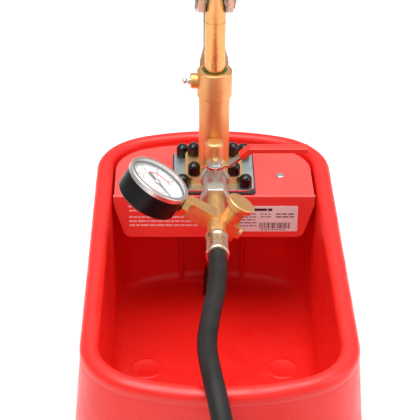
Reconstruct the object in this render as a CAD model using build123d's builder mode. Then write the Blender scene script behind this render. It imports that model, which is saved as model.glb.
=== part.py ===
"""Hand-operated pressure test pump: a plastic water tank with a brass lever pump.

Millimetres, +Z up, origin on the floor at the centre of the tank's footprint.
The pump stands at +Y, the hose leaves over the tank's edge at -Y.
"""
import math
import os

from build123d import *

os.makedirs("parts", exist_ok=True)

# ------------------------------------------------------------------ tank
RIM_Z = 190.0            # crest of the rolled rim
RIM_HALF_W = 115.0       # crest line, half width and half length
RIM_HALF_L = 229.0
RIM_CORNER = 60.0
END_BOW = 224.0          # radius of the softly bowed ends
RIM_OUT = 10.0           # rim's outer edge beyond the crest
RIM_IN = 8.0             # rim's inner edge inside the crest
SHOULDER_Z = 183.0       # where the outer skirt meets the rim
SKIRT_FLARE = 16.5       # how far the skirt's foot stands beyond its shoulder
WALL = 3.5
FLOOR_Z = 27.0           # inside floor of the basin
REAR_LEAN = 40.0         # the basin's rear wall leans forward by this much at its foot
RIB_X = 34.0
POST_X = 71.0
POST_Y = 143.0
POST_LOW = 142.0         # lower end of the screw bosses

# ------------------------------------------------------------------ cover
COVER_Z = 183.0          # top face
COVER_GAP = 2.5
COVER_FRONT = 101.5      # Y of the crease
APRON_Z = 133.0          # lower edge of the front apron
APRON_HALF_TOP = 105.3
APRON_HALF_LOW = 93.5

# ------------------------------------------------------------------ pump
PUMP_Y = 147.5           # axis of the cylinder
GASKET_T = 2.0
PLATE_T = 3.0
PLATE_SIDE = 84.0
GASKET_SIDE = 87.0
PLATE_BOLT = 33.0        # half spacing of the plate's bolts
FLANGE_BOLT = 21.0       # half spacing of the flange's bolts
FLANGE_SIDE = 60.0
FLANGE_T = 8.0
PLATE_Z = COVER_Z + GASKET_T
FLANGE_Z = PLATE_Z + PLATE_T
FLANGE_TOP = FLANGE_Z + FLANGE_T
CHEST_Y = 121.8          # axis of the delivery valve chest
CHEST_R = 9.5
CHEST_TOP = 237.0
BLOCK_LOW = 170.0        # underside of the valve block below the flange
BORE_R = 14.0            # cylinder bore
TUBE_R = 16.0
TUBE_TOP = 285.0
COLLAR_R = 18.0
COLLAR_LOW = 277.0
COLLAR_TOP = 307.0
ROD_R = 10.5
FIT = 0.05               # running clearance, radial
GREASE_Z = 294.0

# ------------------------------------------------------------------ lever
STROKE = 60.0
PIN_Z = 384.0            # piston pin with the piston up
PIN_R = 5.0
FULCRUM_BACK = 54.0      # fulcrum behind the cylinder axis
ARM_REST = 27.5          # degrees, line from fulcrum to piston pin above level
FULCRUM_Y = PUMP_Y + FULCRUM_BACK
FULCRUM_Z = PIN_Z - FULCRUM_BACK * math.tan(math.radians(ARM_REST))
HANDLE_REST = 48.0       # degrees, handle above level with the piston up
CHEEK_IN = 11.8
CHEEK_OUT = 17.4
ARM_IN = 6.0
ARM_OUT = 11.4
LEVER_TUBE_R = 11.0
LEVER_TUBE_L = 385.0
GRIP_L = 125.0
SLOT_CLEAR = 1.35        # room round the pin across the slot

# ------------------------------------------------------------------ outlet
AXIS_Z = 208.0           # level of the outlet line
VALVE_Y = 75.0           # stem of the shut-off valve
CROSS_Y = 12.0           # where the branches leave the manifold
BRANCH = 31.0            # degrees, tilt of the branches about the outlet line
GAUGE_OUT = 72.0         # gauge centre from the outlet line
GAUGE_R = 32.0
RELIEF_OFF = 10.2        # relief screw's axis beside the outlet line
FERRULE_END = -51.0
HOSE_R = 9.0
FERRULE_R = 11.5

# Route of the hose from its ferrule, over the tank's edge, down to the floor.
HOSE_ROUTE = [
    (0, FERRULE_END, AXIS_Z),
    (0, -94, AXIS_Z),
    (-8, -140, 204),
    (-13, -187, 203),
    (-8, -234, 206),
    (1, -281, 189),
    (8, -318, 154),
    (11, -340, 74),
    (8, -368, 31),
    (2, -412, 9.2),
    (2, -459, 9.2),
]
COIL_R_OUT = 104.0       # mean radius of the outer turn
COIL_R_IN = 77.0         # mean radius of the inner turn's last stretch
COIL_X = HOSE_ROUTE[-1][0] + COIL_R_OUT
COIL_Y = HOSE_ROUTE[-1][1]
END_NUT_R = 12.0         # across flats, halved
END_X = COIL_X - 8.0     # where the hose enters its far connector, which lies on the coil
END_Y = COIL_Y + 80.0
END_Z = 2 * HOSE_R + END_NUT_R / math.cos(math.radians(30)) + 0.2


def tank_plan(height, half_w, front, rear, corner):
    """Sketch of the tank's outline at a height: straight sides, bowed ends, round corners."""
    sag = END_BOW - math.sqrt(END_BOW**2 - half_w**2)
    with BuildSketch(Plane.XY.offset(height)) as plan:
        with BuildLine():
            Line((half_w, front + sag), (half_w, rear - sag))
            ThreePointArc((half_w, rear - sag), (0, rear), (-half_w, rear - sag))
            Line((-half_w, rear - sag), (-half_w, front + sag))
            ThreePointArc((-half_w, front + sag), (0, front), (half_w, front + sag))
        make_face()
        fillet(plan.vertices(), corner)
    return plan.sketch


def rim_plan(height, beyond):
    """Outline that runs a given distance outside the rim's crest line."""
    reach = RIM_HALF_L + beyond
    return tank_plan(height, RIM_HALF_W + beyond, -reach, reach, RIM_CORNER + beyond)


def basin_plan(height, grow):
    """Outline of the basin at a height, grown outwards; its rear wall leans forward."""
    depth = (RIM_Z - height) / (RIM_Z - FLOOR_Z)
    half_w = RIM_HALF_W - RIM_IN - 1.5 * depth + grow
    front = -(RIM_HALF_L - RIM_IN) + 2.0 * depth - grow
    rear = RIM_HALF_L - RIM_IN - REAR_LEAN * depth + grow
    return tank_plan(height, half_w, front, rear, RIM_CORNER - RIM_IN - 6.0 * depth + grow)


# ================================================================== tank
with BuildPart() as tank_shell:
    loft([rim_plan(0, RIM_OUT - 1 + SKIRT_FLARE), rim_plan(SHOULDER_Z, RIM_OUT - 1)], ruled=True)
    extrude(rim_plan(SHOULDER_Z - 6, RIM_OUT), amount=9)
    extrude(rim_plan(SHOULDER_Z - 2, RIM_OUT - 6), amount=RIM_Z - SHOULDER_Z + 2)
    fillet(tank_shell.faces().sort_by(Axis.Z)[-1].edges(), 3.2)
    fillet(tank_shell.faces().filter_by_position(
        Axis.Z, SHOULDER_Z + 2.9, SHOULDER_Z + 3.1).sort_by(Axis.Z)[-1].outer_wire().edges(), 2.5)
    # hollow between skirt and basin
    loft([rim_plan(-1, RIM_OUT - 1 + SKIRT_FLARE - WALL),
          rim_plan(SHOULDER_Z - WALL, RIM_OUT - 1 - WALL)], ruled=True, mode=Mode.SUBTRACT)
    # basin walls and floor
    loft([basin_plan(FLOOR_Z - WALL, WALL), basin_plan(SHOULDER_Z, WALL)], ruled=True)
    loft([basin_plan(FLOOR_Z, 0), basin_plan(RIM_Z + 1, 0)], ruled=True, mode=Mode.SUBTRACT)
    # stiffening ribs on the rear wall
    for side in (-1, 1):
        with BuildSketch(Plane.YZ.offset(side * RIB_X)):
            with BuildLine():
                Polyline((172, FLOOR_Z - 1), (198, 150), (214, 150), (186, FLOOR_Z - 1), close=True)
            make_face()
        extrude(amount=2, both=True)
    # bosses that carry the cover's screws, each on a gusset from the rear wall
    for side in (-1, 1):
        with BuildSketch(Plane.XY.offset(POST_LOW)):
            with Locations((side * POST_X, POST_Y)):
                Circle(5)
        with BuildSketch(Plane.XY.offset(COVER_Z - WALL)):
            with Locations((side * POST_X, POST_Y)):
                Circle(7)
        loft()
        with BuildSketch(Plane.YZ.offset(side * POST_X)):
            with BuildLine():
                Polyline((POST_Y, POST_LOW), (POST_Y, 178), (196, 178), (196, 172), (208, 172),
                         (191, 100), close=True)
            make_face()
        extrude(amount=1.5, both=True)
        with BuildSketch(Plane.XY.offset(COVER_Z - WALL)):
            with Locations((side * POST_X, POST_Y)):
                Circle(2.1)
        extrude(amount=-24, mode=Mode.SUBTRACT)
tank_shell.part.label = "tank_shell"

# ================================================================== cover
COVER_REAR = RIM_HALF_L - RIM_IN - COVER_GAP - 3
COVER_HALF_W = RIM_HALF_W - RIM_IN - COVER_GAP
COVER_CORNER = RIM_CORNER - RIM_IN - COVER_GAP
with BuildPart() as pump_cover:
    extrude(tank_plan(COVER_Z - 8, COVER_HALF_W, -COVER_REAR, COVER_REAR, COVER_CORNER), amount=8)
    extrude(tank_plan(COVER_Z - 9, COVER_HALF_W - WALL, -COVER_REAR, COVER_REAR - WALL,
                      COVER_CORNER - WALL), amount=9 - WALL, mode=Mode.SUBTRACT)
    split(bisect_by=Plane.XZ.offset(-COVER_FRONT), keep=Keep.BOTTOM)
    with BuildSketch(Plane.XZ.offset(-COVER_FRONT)) as apron:
        with BuildLine():
            Polyline(
                (-APRON_HALF_TOP, COVER_Z), (APRON_HALF_TOP, COVER_Z), (APRON_HALF_TOP, COVER_Z - 10),
                (APRON_HALF_LOW, APRON_Z), (-APRON_HALF_LOW, APRON_Z),
                (-APRON_HALF_TOP, COVER_Z - 10), close=True)
        make_face()
        fillet(apron.vertices().group_by(Axis.Y)[0], 9)
    extrude(amount=-WALL)
    fillet(pump_cover.edges().filter_by(Axis.X).filter_by_position(
        Axis.Z, COVER_Z - 0.1, COVER_Z + 0.1).sort_by(Axis.Y)[0], 1.6)
    with BuildSketch(Plane.XY.offset(COVER_Z)):
        with Locations((0, PUMP_Y)):
            Circle(TUBE_R + 3)
        with Locations((0, (PUMP_Y + CHEST_Y) / 2)):
            Rectangle(2 * CHEST_R + 3, PUMP_Y - CHEST_Y)
        with Locations((0, CHEST_Y)):
            Circle(CHEST_R + 1.5)
        with Locations((0, PUMP_Y)):
            with GridLocations(2 * PLATE_BOLT, 2 * PLATE_BOLT, 2, 2):
                Circle(3.3)
            with GridLocations(2 * FLANGE_BOLT, 2 * FLANGE_BOLT, 2, 2):
                Circle(6.2)
        with Locations((POST_X, POST_Y), (-POST_X, POST_Y)):
            Circle(2.6)
    extrude(amount=-WALL - 1, mode=Mode.SUBTRACT)
pump_cover.part.label = "pump_cover"

with BuildPart() as cover_screws:
    with BuildSketch(Plane.XY.offset(COVER_Z)):
        with Locations((POST_X, POST_Y), (-POST_X, POST_Y)):
            Circle(4.6)
    extrude(amount=2.2)
    fillet(cover_screws.faces().group_by(Axis.Z)[-1].edges(), 1.4)
    with BuildSketch(Plane.XY.offset(COVER_Z + 2.2)):
        with Locations((POST_X, POST_Y), (-POST_X, POST_Y)):
            Rectangle(6.4, 1.1, rotation=25)
    extrude(amount=-1.1, mode=Mode.SUBTRACT)
    with BuildSketch(Plane.XY.offset(COVER_Z)):
        with Locations((POST_X, POST_Y), (-POST_X, POST_Y)):
            Circle(2.05)
    extrude(amount=-22)
cover_screws.part.label = "cover_screws"

LABEL_T = 0.35
with BuildPart() as rating_label:
    with BuildSketch(Plane.XZ.offset(-COVER_FRONT)):
        with Locations((54.5, 155.5)):
            RectangleRounded(67, 31, 1.2)
    extrude(amount=LABEL_T)
rating_label.part.label = "rating_label"

# ================================================================== mounting plate and bolts
with BuildPart() as base_gasket:
    with BuildSketch(Plane.XY.offset(COVER_Z)):
        with Locations((0, PUMP_Y)):
            RectangleRounded(GASKET_SIDE, GASKET_SIDE, 5)
            Circle(TUBE_R + 3, mode=Mode.SUBTRACT)
        with Locations((0, (PUMP_Y + CHEST_Y) / 2)):
            Rectangle(2 * CHEST_R + 3, PUMP_Y - CHEST_Y, mode=Mode.SUBTRACT)
        with Locations((0, CHEST_Y)):
            Circle(CHEST_R + 1.5, mode=Mode.SUBTRACT)
        with Locations((0, PUMP_Y)):
            with GridLocations(2 * PLATE_BOLT, 2 * PLATE_BOLT, 2, 2):
                Circle(3.3, mode=Mode.SUBTRACT)
            with GridLocations(2 * FLANGE_BOLT, 2 * FLANGE_BOLT, 2, 2):
                Circle(6.2, mode=Mode.SUBTRACT)
    extrude(amount=GASKET_T)
base_gasket.part.label = "base_gasket"

with BuildPart() as mounting_plate:
    with BuildSketch(Plane.XY.offset(PLATE_Z)) as plate_plan:
        with Locations((0, PUMP_Y)):
            Rectangle(PLATE_SIDE, PLATE_SIDE)
        chamfer(plate_plan.vertices(), 6)
        with Locations((0, PUMP_Y)):
            Circle(TUBE_R + 2.5, mode=Mode.SUBTRACT)
        with Locations((0, (PUMP_Y + CHEST_Y) / 2)):
            Rectangle(2 * CHEST_R + 2, PUMP_Y - CHEST_Y, mode=Mode.SUBTRACT)
        with Locations((0, CHEST_Y)):
            Circle(CHEST_R + 1, mode=Mode.SUBTRACT)
        with Locations((0, PUMP_Y)):
            with GridLocations(2 * PLATE_BOLT, 2 * PLATE_BOLT, 2, 2):
                Circle(3.3, mode=Mode.SUBTRACT)
            with GridLocations(2 * FLANGE_BOLT, 2 * FLANGE_BOLT, 2, 2):
                Circle(3.2, mode=Mode.SUBTRACT)
    extrude(amount=PLATE_T)
mounting_plate.part.label = "mounting_plate"


def hex_bolts(spacing, seat, length):
    """Four M6 hex bolts on a square, heads on a seat height, shanks down."""
    with BuildPart() as bolts:
        with BuildSketch(Plane.XY.offset(seat)):
            with Locations((0, PUMP_Y)):
                with GridLocations(2 * spacing, 2 * spacing, 2, 2):
                    RegularPolygon(5, 6, major_radius=False)
        extrude(amount=4)
        with BuildSketch(Plane.XY.offset(seat)):
            with Locations((0, PUMP_Y)):
                with GridLocations(2 * spacing, 2 * spacing, 2, 2):
                    Circle(3)
        extrude(amount=-length)
    return bolts


def bolt_nuts(spacing, top):
    """Four M6 nuts on a square, below a height."""
    with BuildPart() as nuts:
        with BuildSketch(Plane.XY.offset(top)):
            with Locations((0, PUMP_Y)):
                with GridLocations(2 * spacing, 2 * spacing, 2, 2):
                    RegularPolygon(5, 6, major_radius=False)
                    Circle(3, mode=Mode.SUBTRACT)
        extrude(amount=-5)
    return nuts


CAP_R = 6.6
CAP_H = 13.5


def bolt_caps(spacing, seat):
    """Four domed plastic caps, each hollow inside for its bolt head."""
    with BuildPart() as caps:
        with BuildSketch(Plane.XY.offset(seat)):
            with Locations((0, PUMP_Y)):
                with GridLocations(2 * spacing, 2 * spacing, 2, 2):
                    Circle(CAP_R)
        extrude(amount=CAP_H)
        fillet(caps.faces().group_by(Axis.Z)[-1].edges(), CAP_R - 0.8)
        with BuildSketch(Plane.XY.offset(seat)):
            with Locations((0, PUMP_Y)):
                with GridLocations(2 * spacing, 2 * spacing, 2, 2):
                    Circle(5.8)
        extrude(amount=4.2, mode=Mode.SUBTRACT)
    return caps


plate_bolts = hex_bolts(PLATE_BOLT, FLANGE_Z, 20)
plate_bolts.part.label = "plate_bolts"
plate_bolt_nuts = bolt_nuts(PLATE_BOLT, COVER_Z - WALL)
plate_bolt_nuts.part.label = "plate_bolt_nuts"
plate_bolt_caps = bolt_caps(PLATE_BOLT, FLANGE_Z)
plate_bolt_caps.part.label = "plate_bolt_caps"
flange_bolts = hex_bolts(FLANGE_BOLT, FLANGE_TOP, 18)
flange_bolts.part.label = "flange_bolts"
flange_bolt_nuts = bolt_nuts(FLANGE_BOLT, PLATE_Z)
flange_bolt_nuts.part.label = "flange_bolt_nuts"
flange_bolt_caps = bolt_caps(FLANGE_BOLT, FLANGE_TOP)
flange_bolt_caps.part.label = "flange_bolt_caps"

# ================================================================== pump base
CHEST_BORE = 5.6
PASSAGE_Z = 181.0
with BuildPart() as pump_base:
    with BuildSketch(Plane.XY.offset(FLANGE_Z)):
        with Locations((0, PUMP_Y)):
            RectangleRounded(FLANGE_SIDE, FLANGE_SIDE, 9)
    extrude(amount=FLANGE_T)
    with BuildSketch(Plane.XY.offset(BLOCK_LOW)):
        with Locations((0, PUMP_Y)):
            Circle(TUBE_R + 2)
        with Locations((0, (PUMP_Y + CHEST_Y) / 2)):
            Rectangle(2 * CHEST_R, PUMP_Y - CHEST_Y)
        with Locations((0, CHEST_Y)):
            Circle(CHEST_R)
    extrude(amount=FLANGE_Z - BLOCK_LOW)
    with BuildSketch(Plane.XY.offset(FLANGE_TOP)):
        with Locations((0, PUMP_Y)):
            Circle(TUBE_R + 2)
    extrude(amount=2.5)
    with BuildSketch(Plane.XY.offset(FLANGE_Z)):
        with Locations((0, CHEST_Y)):
            Circle(CHEST_R)
    extrude(amount=CHEST_TOP - 11 - FLANGE_Z)
    with BuildSketch(Plane.XZ.offset(-CHEST_Y)):
        with Locations((0, AXIS_Z)):
            Circle(8.95)
    extrude(amount=CHEST_Y - VALVE_Y - 18)
    # web between chest and flange
    with BuildSketch(Plane.XY.offset(FLANGE_TOP)):
        with Locations((0, CHEST_Y + 3)):
            Rectangle(13, 12)
    extrude(amount=3)
    # cylinder socket, suction chamber, cross passage, chest bore, outlet bore
    with BuildSketch(Plane.XY.offset(FLANGE_TOP + 2.5)):
        with Locations((0, PUMP_Y)):
            Circle(TUBE_R)
    extrude(amount=-(FLANGE_TOP + 2.5 - FLANGE_Z), mode=Mode.SUBTRACT)
    with BuildSketch(Plane.XY.offset(FLANGE_Z)):
        with Locations((0, PUMP_Y)):
            Circle(BORE_R - 1)
    extrude(amount=-10, mode=Mode.SUBTRACT)
    with BuildSketch(Plane.XY.offset(FLANGE_Z - 10)):
        with Locations((0, PUMP_Y)):
            Circle(9)
    extrude(amount=-10, mode=Mode.SUBTRACT)
    with BuildSketch(Plane.XZ.offset(-PUMP_Y)):
        with Locations((0, PASSAGE_Z)):
            Circle(2.6)
    extrude(amount=PUMP_Y - CHEST_Y + 1, mode=Mode.SUBTRACT)
    with BuildSketch(Plane.XY.offset(PASSAGE_Z - 4)):
        with Locations((0, CHEST_Y)):
            Circle(3)
    extrude(amount=21, mode=Mode.SUBTRACT)
    with BuildSketch(Plane.XY.offset(196)):
        with Locations((0, CHEST_Y)):
            Circle(CHEST_BORE)
    extrude(amount=CHEST_TOP - 196, mode=Mode.SUBTRACT)
    with BuildSketch(Plane.XZ.offset(-CHEST_Y)):
        with Locations((0, AXIS_Z)):
            Circle(4.5)
    extrude(amount=CHEST_Y - VALVE_Y, mode=Mode.SUBTRACT)
    with Locations((0, PUMP_Y, FLANGE_TOP)):
        with GridLocations(2 * FLANGE_BOLT, 2 * FLANGE_BOLT, 2, 2):
            Hole(3.2, FLANGE_T)
pump_base.part.label = "pump_base"

with BuildPart() as delivery_valve_cap:
    with BuildSketch(Plane.XY.offset(CHEST_TOP - 11)):
        with Locations((0, CHEST_Y)):
            Circle(CHEST_R)
    extrude(amount=11)
    fillet(delivery_valve_cap.faces().sort_by(Axis.Z)[-1].edges(), 3)
    with BuildSketch(Plane.XY.offset(CHEST_TOP - 11)):
        with Locations((0, CHEST_Y)):
            Circle(CHEST_BORE - 0.1)
    extrude(amount=-4)
delivery_valve_cap.part.label = "delivery_valve_cap"

DELIVERY_BALL_R = 4.5
DELIVERY_SEAT = 196.0 + math.sqrt(DELIVERY_BALL_R**2 - 3.0**2)
with BuildPart() as delivery_ball:
    with Locations((0, CHEST_Y, DELIVERY_SEAT + 0.1)):
        Sphere(DELIVERY_BALL_R)
delivery_ball.part.label = "delivery_ball"

SPRING_LOW = DELIVERY_SEAT + 0.1 + DELIVERY_BALL_R + 0.3
SPRING_TOP = CHEST_TOP - 15.1
with BuildPart() as delivery_spring:
    with BuildSketch(Plane.XY.offset(SPRING_LOW)):
        with Locations((0, CHEST_Y)):
            Circle(4.2)
            Circle(3.3, mode=Mode.SUBTRACT)
    extrude(amount=SPRING_TOP - SPRING_LOW)
delivery_spring.part.label = "delivery_spring"

# ================================================================== suction side
SUCTION_R = 6.5
STRAINER_LOW = 29.0
with BuildPart() as suction_valve_body:
    with BuildSketch(Plane.XY.offset(BLOCK_LOW)):
        with Locations((0, PUMP_Y)):
            RegularPolygon(14.5, 6, major_radius=False)
    extrude(amount=-20)
    with BuildSketch(Plane.XY.offset(BLOCK_LOW)):
        with Locations((0, PUMP_Y)):
            Circle(9)
    extrude(amount=7.5)
    with BuildSketch(Plane.XY.offset(BLOCK_LOW + 7.5)):
        with Locations((0, PUMP_Y)):
            Circle(6.6)
    extrude(amount=-17.5, mode=Mode.SUBTRACT)
    with BuildSketch(Plane.XY.offset(BLOCK_LOW - 20)):
        with Locations((0, PUMP_Y)):
            Circle(3.5)
    extrude(amount=12, mode=Mode.SUBTRACT)
    with BuildSketch(Plane.XY.offset(BLOCK_LOW - 20)):
        with Locations((0, PUMP_Y)):
            Circle(SUCTION_R)
    extrude(amount=6, mode=Mode.SUBTRACT)
suction_valve_body.part.label = "suction_valve_body"

SUCTION_BALL_R = 5.0
SUCTION_SEAT = BLOCK_LOW - 10 + math.sqrt(SUCTION_BALL_R**2 - 3.5**2)
with BuildPart() as suction_ball:
    with Locations((0, PUMP_Y, SUCTION_SEAT + 0.1)):
        Sphere(SUCTION_BALL_R)
suction_ball.part.label = "suction_ball"

with BuildPart() as suction_ball_guard:
    with BuildSketch(Plane.XY.offset(BLOCK_LOW + 5)):
        with Locations((0, PUMP_Y)):
            Circle(6.5)
            with PolarLocations(3.9, 4):
                Circle(1.6, mode=Mode.SUBTRACT)
    extrude(amount=2)
suction_ball_guard.part.label = "suction_ball_guard"

with BuildPart() as suction_pipe:
    with BuildSketch(Plane.XY.offset(BLOCK_LOW - 14)):
        with Locations((0, PUMP_Y)):
            Circle(SUCTION_R)
            Circle(SUCTION_R - 1.5, mode=Mode.SUBTRACT)
    extrude(amount=-(BLOCK_LOW - 14 - STRAINER_LOW - 8))
suction_pipe.part.label = "suction_pipe"

STRAINER_R = 10.0
STRAINER_H = 26.0
with BuildPart() as suction_strainer:
    with BuildSketch(Plane.XY.offset(STRAINER_LOW)):
        with Locations((0, PUMP_Y)):
            Circle(STRAINER_R)
    extrude(amount=STRAINER_H)
    fillet(suction_strainer.faces().sort_by(Axis.Z)[-1].edges(), 1.5)
    with BuildSketch(Plane.XY.offset(STRAINER_LOW)):
        with Locations((0, PUMP_Y)):
            Circle(STRAINER_R - 1.8)
    extrude(amount=STRAINER_H - 3, mode=Mode.SUBTRACT)
    with BuildSketch(Plane.XY.offset(STRAINER_LOW)):
        with Locations((0, PUMP_Y)):
            with PolarLocations(STRAINER_R, 8):
                Rectangle(6, 3.4)
    extrude(amount=STRAINER_H - 6, mode=Mode.SUBTRACT)
    with BuildSketch(Plane.XY.offset(STRAINER_LOW + STRAINER_H)):
        with Locations((0, PUMP_Y)):
            Circle(SUCTION_R + 2.0)
    extrude(amount=9)
    with BuildSketch(Plane.XY.offset(STRAINER_LOW + STRAINER_H + 9)):
        with Locations((0, PUMP_Y)):
            Circle(SUCTION_R)
    extrude(amount=-18, mode=Mode.SUBTRACT)
suction_strainer.part.label = "suction_strainer"

# ================================================================== cylinder
with BuildPart() as cylinder_tube:
    with BuildSketch(Plane.XY.offset(FLANGE_Z)):
        with Locations((0, PUMP_Y)):
            Circle(TUBE_R)
            Circle(BORE_R, mode=Mode.SUBTRACT)
    extrude(amount=TUBE_TOP - FLANGE_Z)
cylinder_tube.part.label = "cylinder_tube"

SEAL_R = 13.0
LUG_Y = PUMP_Y + 28.0
with BuildPart() as cylinder_collar:
    with BuildSketch(Plane.XY.offset(COLLAR_LOW)):
        with Locations((0, PUMP_Y)):
            Circle(COLLAR_R)
    extrude(amount=COLLAR_TOP - COLLAR_LOW)
    fillet(cylinder_collar.faces().sort_by(Axis.Z)[-1].edges(), 1.8)
    chamfer(cylinder_collar.faces().sort_by(Axis.Z)[0].edges(), 1.2)
    # grease boss
    with BuildSketch(Plane.YZ.offset(-25)):
        with Locations((PUMP_Y, GREASE_Z)):
            Circle(8)
    extrude(amount=12)
    chamfer(cylinder_collar.faces().sort_by(Axis.X)[0].edges(), 0.8)
    # rear lug for the fulcrum bracket
    with BuildSketch(Plane.XY.offset(281)):
        with Locations((0, (PUMP_Y + LUG_Y) / 2)):
            Rectangle(20, LUG_Y - PUMP_Y)
    extrude(amount=22)
    with BuildSketch(Plane.XY.offset(COLLAR_LOW)):
        with Locations((0, PUMP_Y)):
            Circle(TUBE_R)
    extrude(amount=TUBE_TOP - COLLAR_LOW, mode=Mode.SUBTRACT)
    with BuildSketch(Plane.XY.offset(COLLAR_TOP)):
        with Locations((0, PUMP_Y)):
            Circle(SEAL_R)
    extrude(amount=-(COLLAR_TOP - TUBE_TOP - 3), mode=Mode.SUBTRACT)
    with BuildSketch(Plane.XY.offset(TUBE_TOP + 3)):
        with Locations((0, PUMP_Y)):
            Circle(ROD_R + 0.5)
    extrude(amount=-3, mode=Mode.SUBTRACT)
    with BuildSketch(Plane.YZ.offset(-25)):
        with Locations((PUMP_Y, GREASE_Z)):
            Circle(2.5)
    extrude(amount=14, mode=Mode.SUBTRACT)
    with BuildSketch(Plane.XZ.offset(-LUG_Y)):
        with Locations((0, 287), (0, 297)):
            Circle(2.5)
    extrude(amount=8, mode=Mode.SUBTRACT)
cylinder_collar.part.label = "cylinder_collar"

NIPPLE_X = -30.8
NIPPLE_R = 3.1
nipple_neck = math.sqrt(NIPPLE_R**2 - 1.9**2)
with BuildPart() as grease_nipple:
    with BuildSketch(Plane(origin=(0, PUMP_Y, GREASE_Z), x_dir=(1, 0, 0), z_dir=(0, -1, 0))):
        with BuildLine():
            Polyline((NIPPLE_X - NIPPLE_R, 0), (-18, 0), (-18, 2.5), (-25, 2.5), (-25, 3.9),
                     (-27.2, 3.9), (-27.2, 1.9), (NIPPLE_X + nipple_neck, 1.9))
            ThreePointArc((NIPPLE_X + nipple_neck, 1.9), (NIPPLE_X, NIPPLE_R), (NIPPLE_X - NIPPLE_R, 0))
        make_face()
    revolve(axis=Axis((0, PUMP_Y, GREASE_Z), (1, 0, 0)))
grease_nipple.part.label = "grease_nipple"

BUSH_LOW = TUBE_TOP + 3
BUSH_TOP = 299.5
with BuildPart() as guide_bush:
    with BuildSketch(Plane.XY.offset(BUSH_LOW)):
        with Locations((0, PUMP_Y)):
            Circle(SEAL_R)
            Circle(ROD_R + FIT, mode=Mode.SUBTRACT)
    extrude(amount=BUSH_TOP - BUSH_LOW)
guide_bush.part.label = "guide_bush"

with BuildPart() as rod_seal:
    with BuildSketch(Plane.XY.offset(BUSH_TOP)):
        with Locations((0, PUMP_Y)):
            Circle(SEAL_R)
            Circle(ROD_R + FIT, mode=Mode.SUBTRACT)
    extrude(amount=COLLAR_TOP - 1.0 - BUSH_TOP)
rod_seal.part.label = "rod_seal"

# ================================================================== piston
PISTON_LOW = FLANGE_Z + 2 + STROKE
PISTON_H = 20.0
ROD_TOP = PIN_Z + 11.0
with BuildPart() as piston_rod:
    with BuildSketch(Plane.XY.offset(PISTON_LOW + PISTON_H)):
        with Locations((0, PUMP_Y)):
            Circle(ROD_R)
    extrude(amount=ROD_TOP - PISTON_LOW - PISTON_H)
    chamfer(piston_rod.faces().sort_by(Axis.Z)[-1].edges(), 2)
    # flats for the pin, a tell-tale groove, the pin's hole, the threaded tail
    with BuildSketch(Plane.XZ.offset(-PUMP_Y)):
        with Locations((-ROD_R, PIN_Z + 6), (ROD_R, PIN_Z + 6)):
            Rectangle(2 * (ROD_R - 8.5), 20)
    extrude(amount=ROD_R + 1, both=True, mode=Mode.SUBTRACT)
    with BuildSketch(Plane.XY.offset(361)):
        with Locations((0, PUMP_Y)):
            Circle(ROD_R)
            Circle(ROD_R - 0.35, mode=Mode.SUBTRACT)
    extrude(amount=0.9, mode=Mode.SUBTRACT)
    with BuildSketch(Plane.YZ):
        with Locations((PUMP_Y, PIN_Z)):
            Circle(PIN_R)
    extrude(amount=ROD_R + 1, both=True, mode=Mode.SUBTRACT)
    with BuildSketch(Plane.XY.offset(PISTON_LOW + PISTON_H)):
        with Locations((0, PUMP_Y)):
            Circle(5)
    extrude(amount=-PISTON_H + 1)
piston_rod.part.label = "piston_rod"

GROOVES = (5.0, 12.0)
with BuildPart() as piston_head:
    with BuildSketch(Plane.XY.offset(PISTON_LOW + 4)):
        with Locations((0, PUMP_Y)):
            Circle(BORE_R - FIT)
            Circle(5, mode=Mode.SUBTRACT)
    extrude(amount=PISTON_H - 4)
    for groove in GROOVES:
        with BuildSketch(Plane.XY.offset(PISTON_LOW + 4 + groove - 2)):
            with Locations((0, PUMP_Y)):
                Circle(BORE_R)
                Circle(BORE_R - 2.8, mode=Mode.SUBTRACT)
        extrude(amount=3, mode=Mode.SUBTRACT)
piston_head.part.label = "piston_head"

with BuildPart() as piston_seals:
    for groove in GROOVES:
        with BuildSketch(Plane.XY.offset(PISTON_LOW + 4.1 + groove - 2)):
            with Locations((0, PUMP_Y)):
                Circle(BORE_R - 0.04)
                Circle(BORE_R - 2.7, mode=Mode.SUBTRACT)
        extrude(amount=2.8)
piston_seals.part.label = "piston_seals"

with BuildPart() as piston_nut:
    with BuildSketch(Plane.XY.offset(PISTON_LOW + 0.5)):
        with Locations((0, PUMP_Y)):
            RegularPolygon(8, 6, major_radius=False)
            Circle(5, mode=Mode.SUBTRACT)
    extrude(amount=3.5)
piston_nut.part.label = "piston_nut"

with BuildPart() as piston_pin:
    with BuildSketch(Plane.YZ.offset(-(CHEEK_OUT + 3.2))):
        with Locations((PUMP_Y, PIN_Z)):
            Circle(PIN_R)
    extrude(amount=2 * (CHEEK_OUT + 3.2))
    with BuildSketch(Plane.YZ.offset(CHEEK_OUT + 0.5)):
        with Locations((PUMP_Y, PIN_Z)):
            Circle(PIN_R + 4)
    extrude(amount=1.6)
    with BuildSketch(Plane.YZ.offset(-(CHEEK_OUT + 0.5))):
        with Locations((PUMP_Y, PIN_Z)):
            Circle(PIN_R + 4)
    extrude(amount=-1.6)
piston_pin.part.label = "piston_pin"

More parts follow.
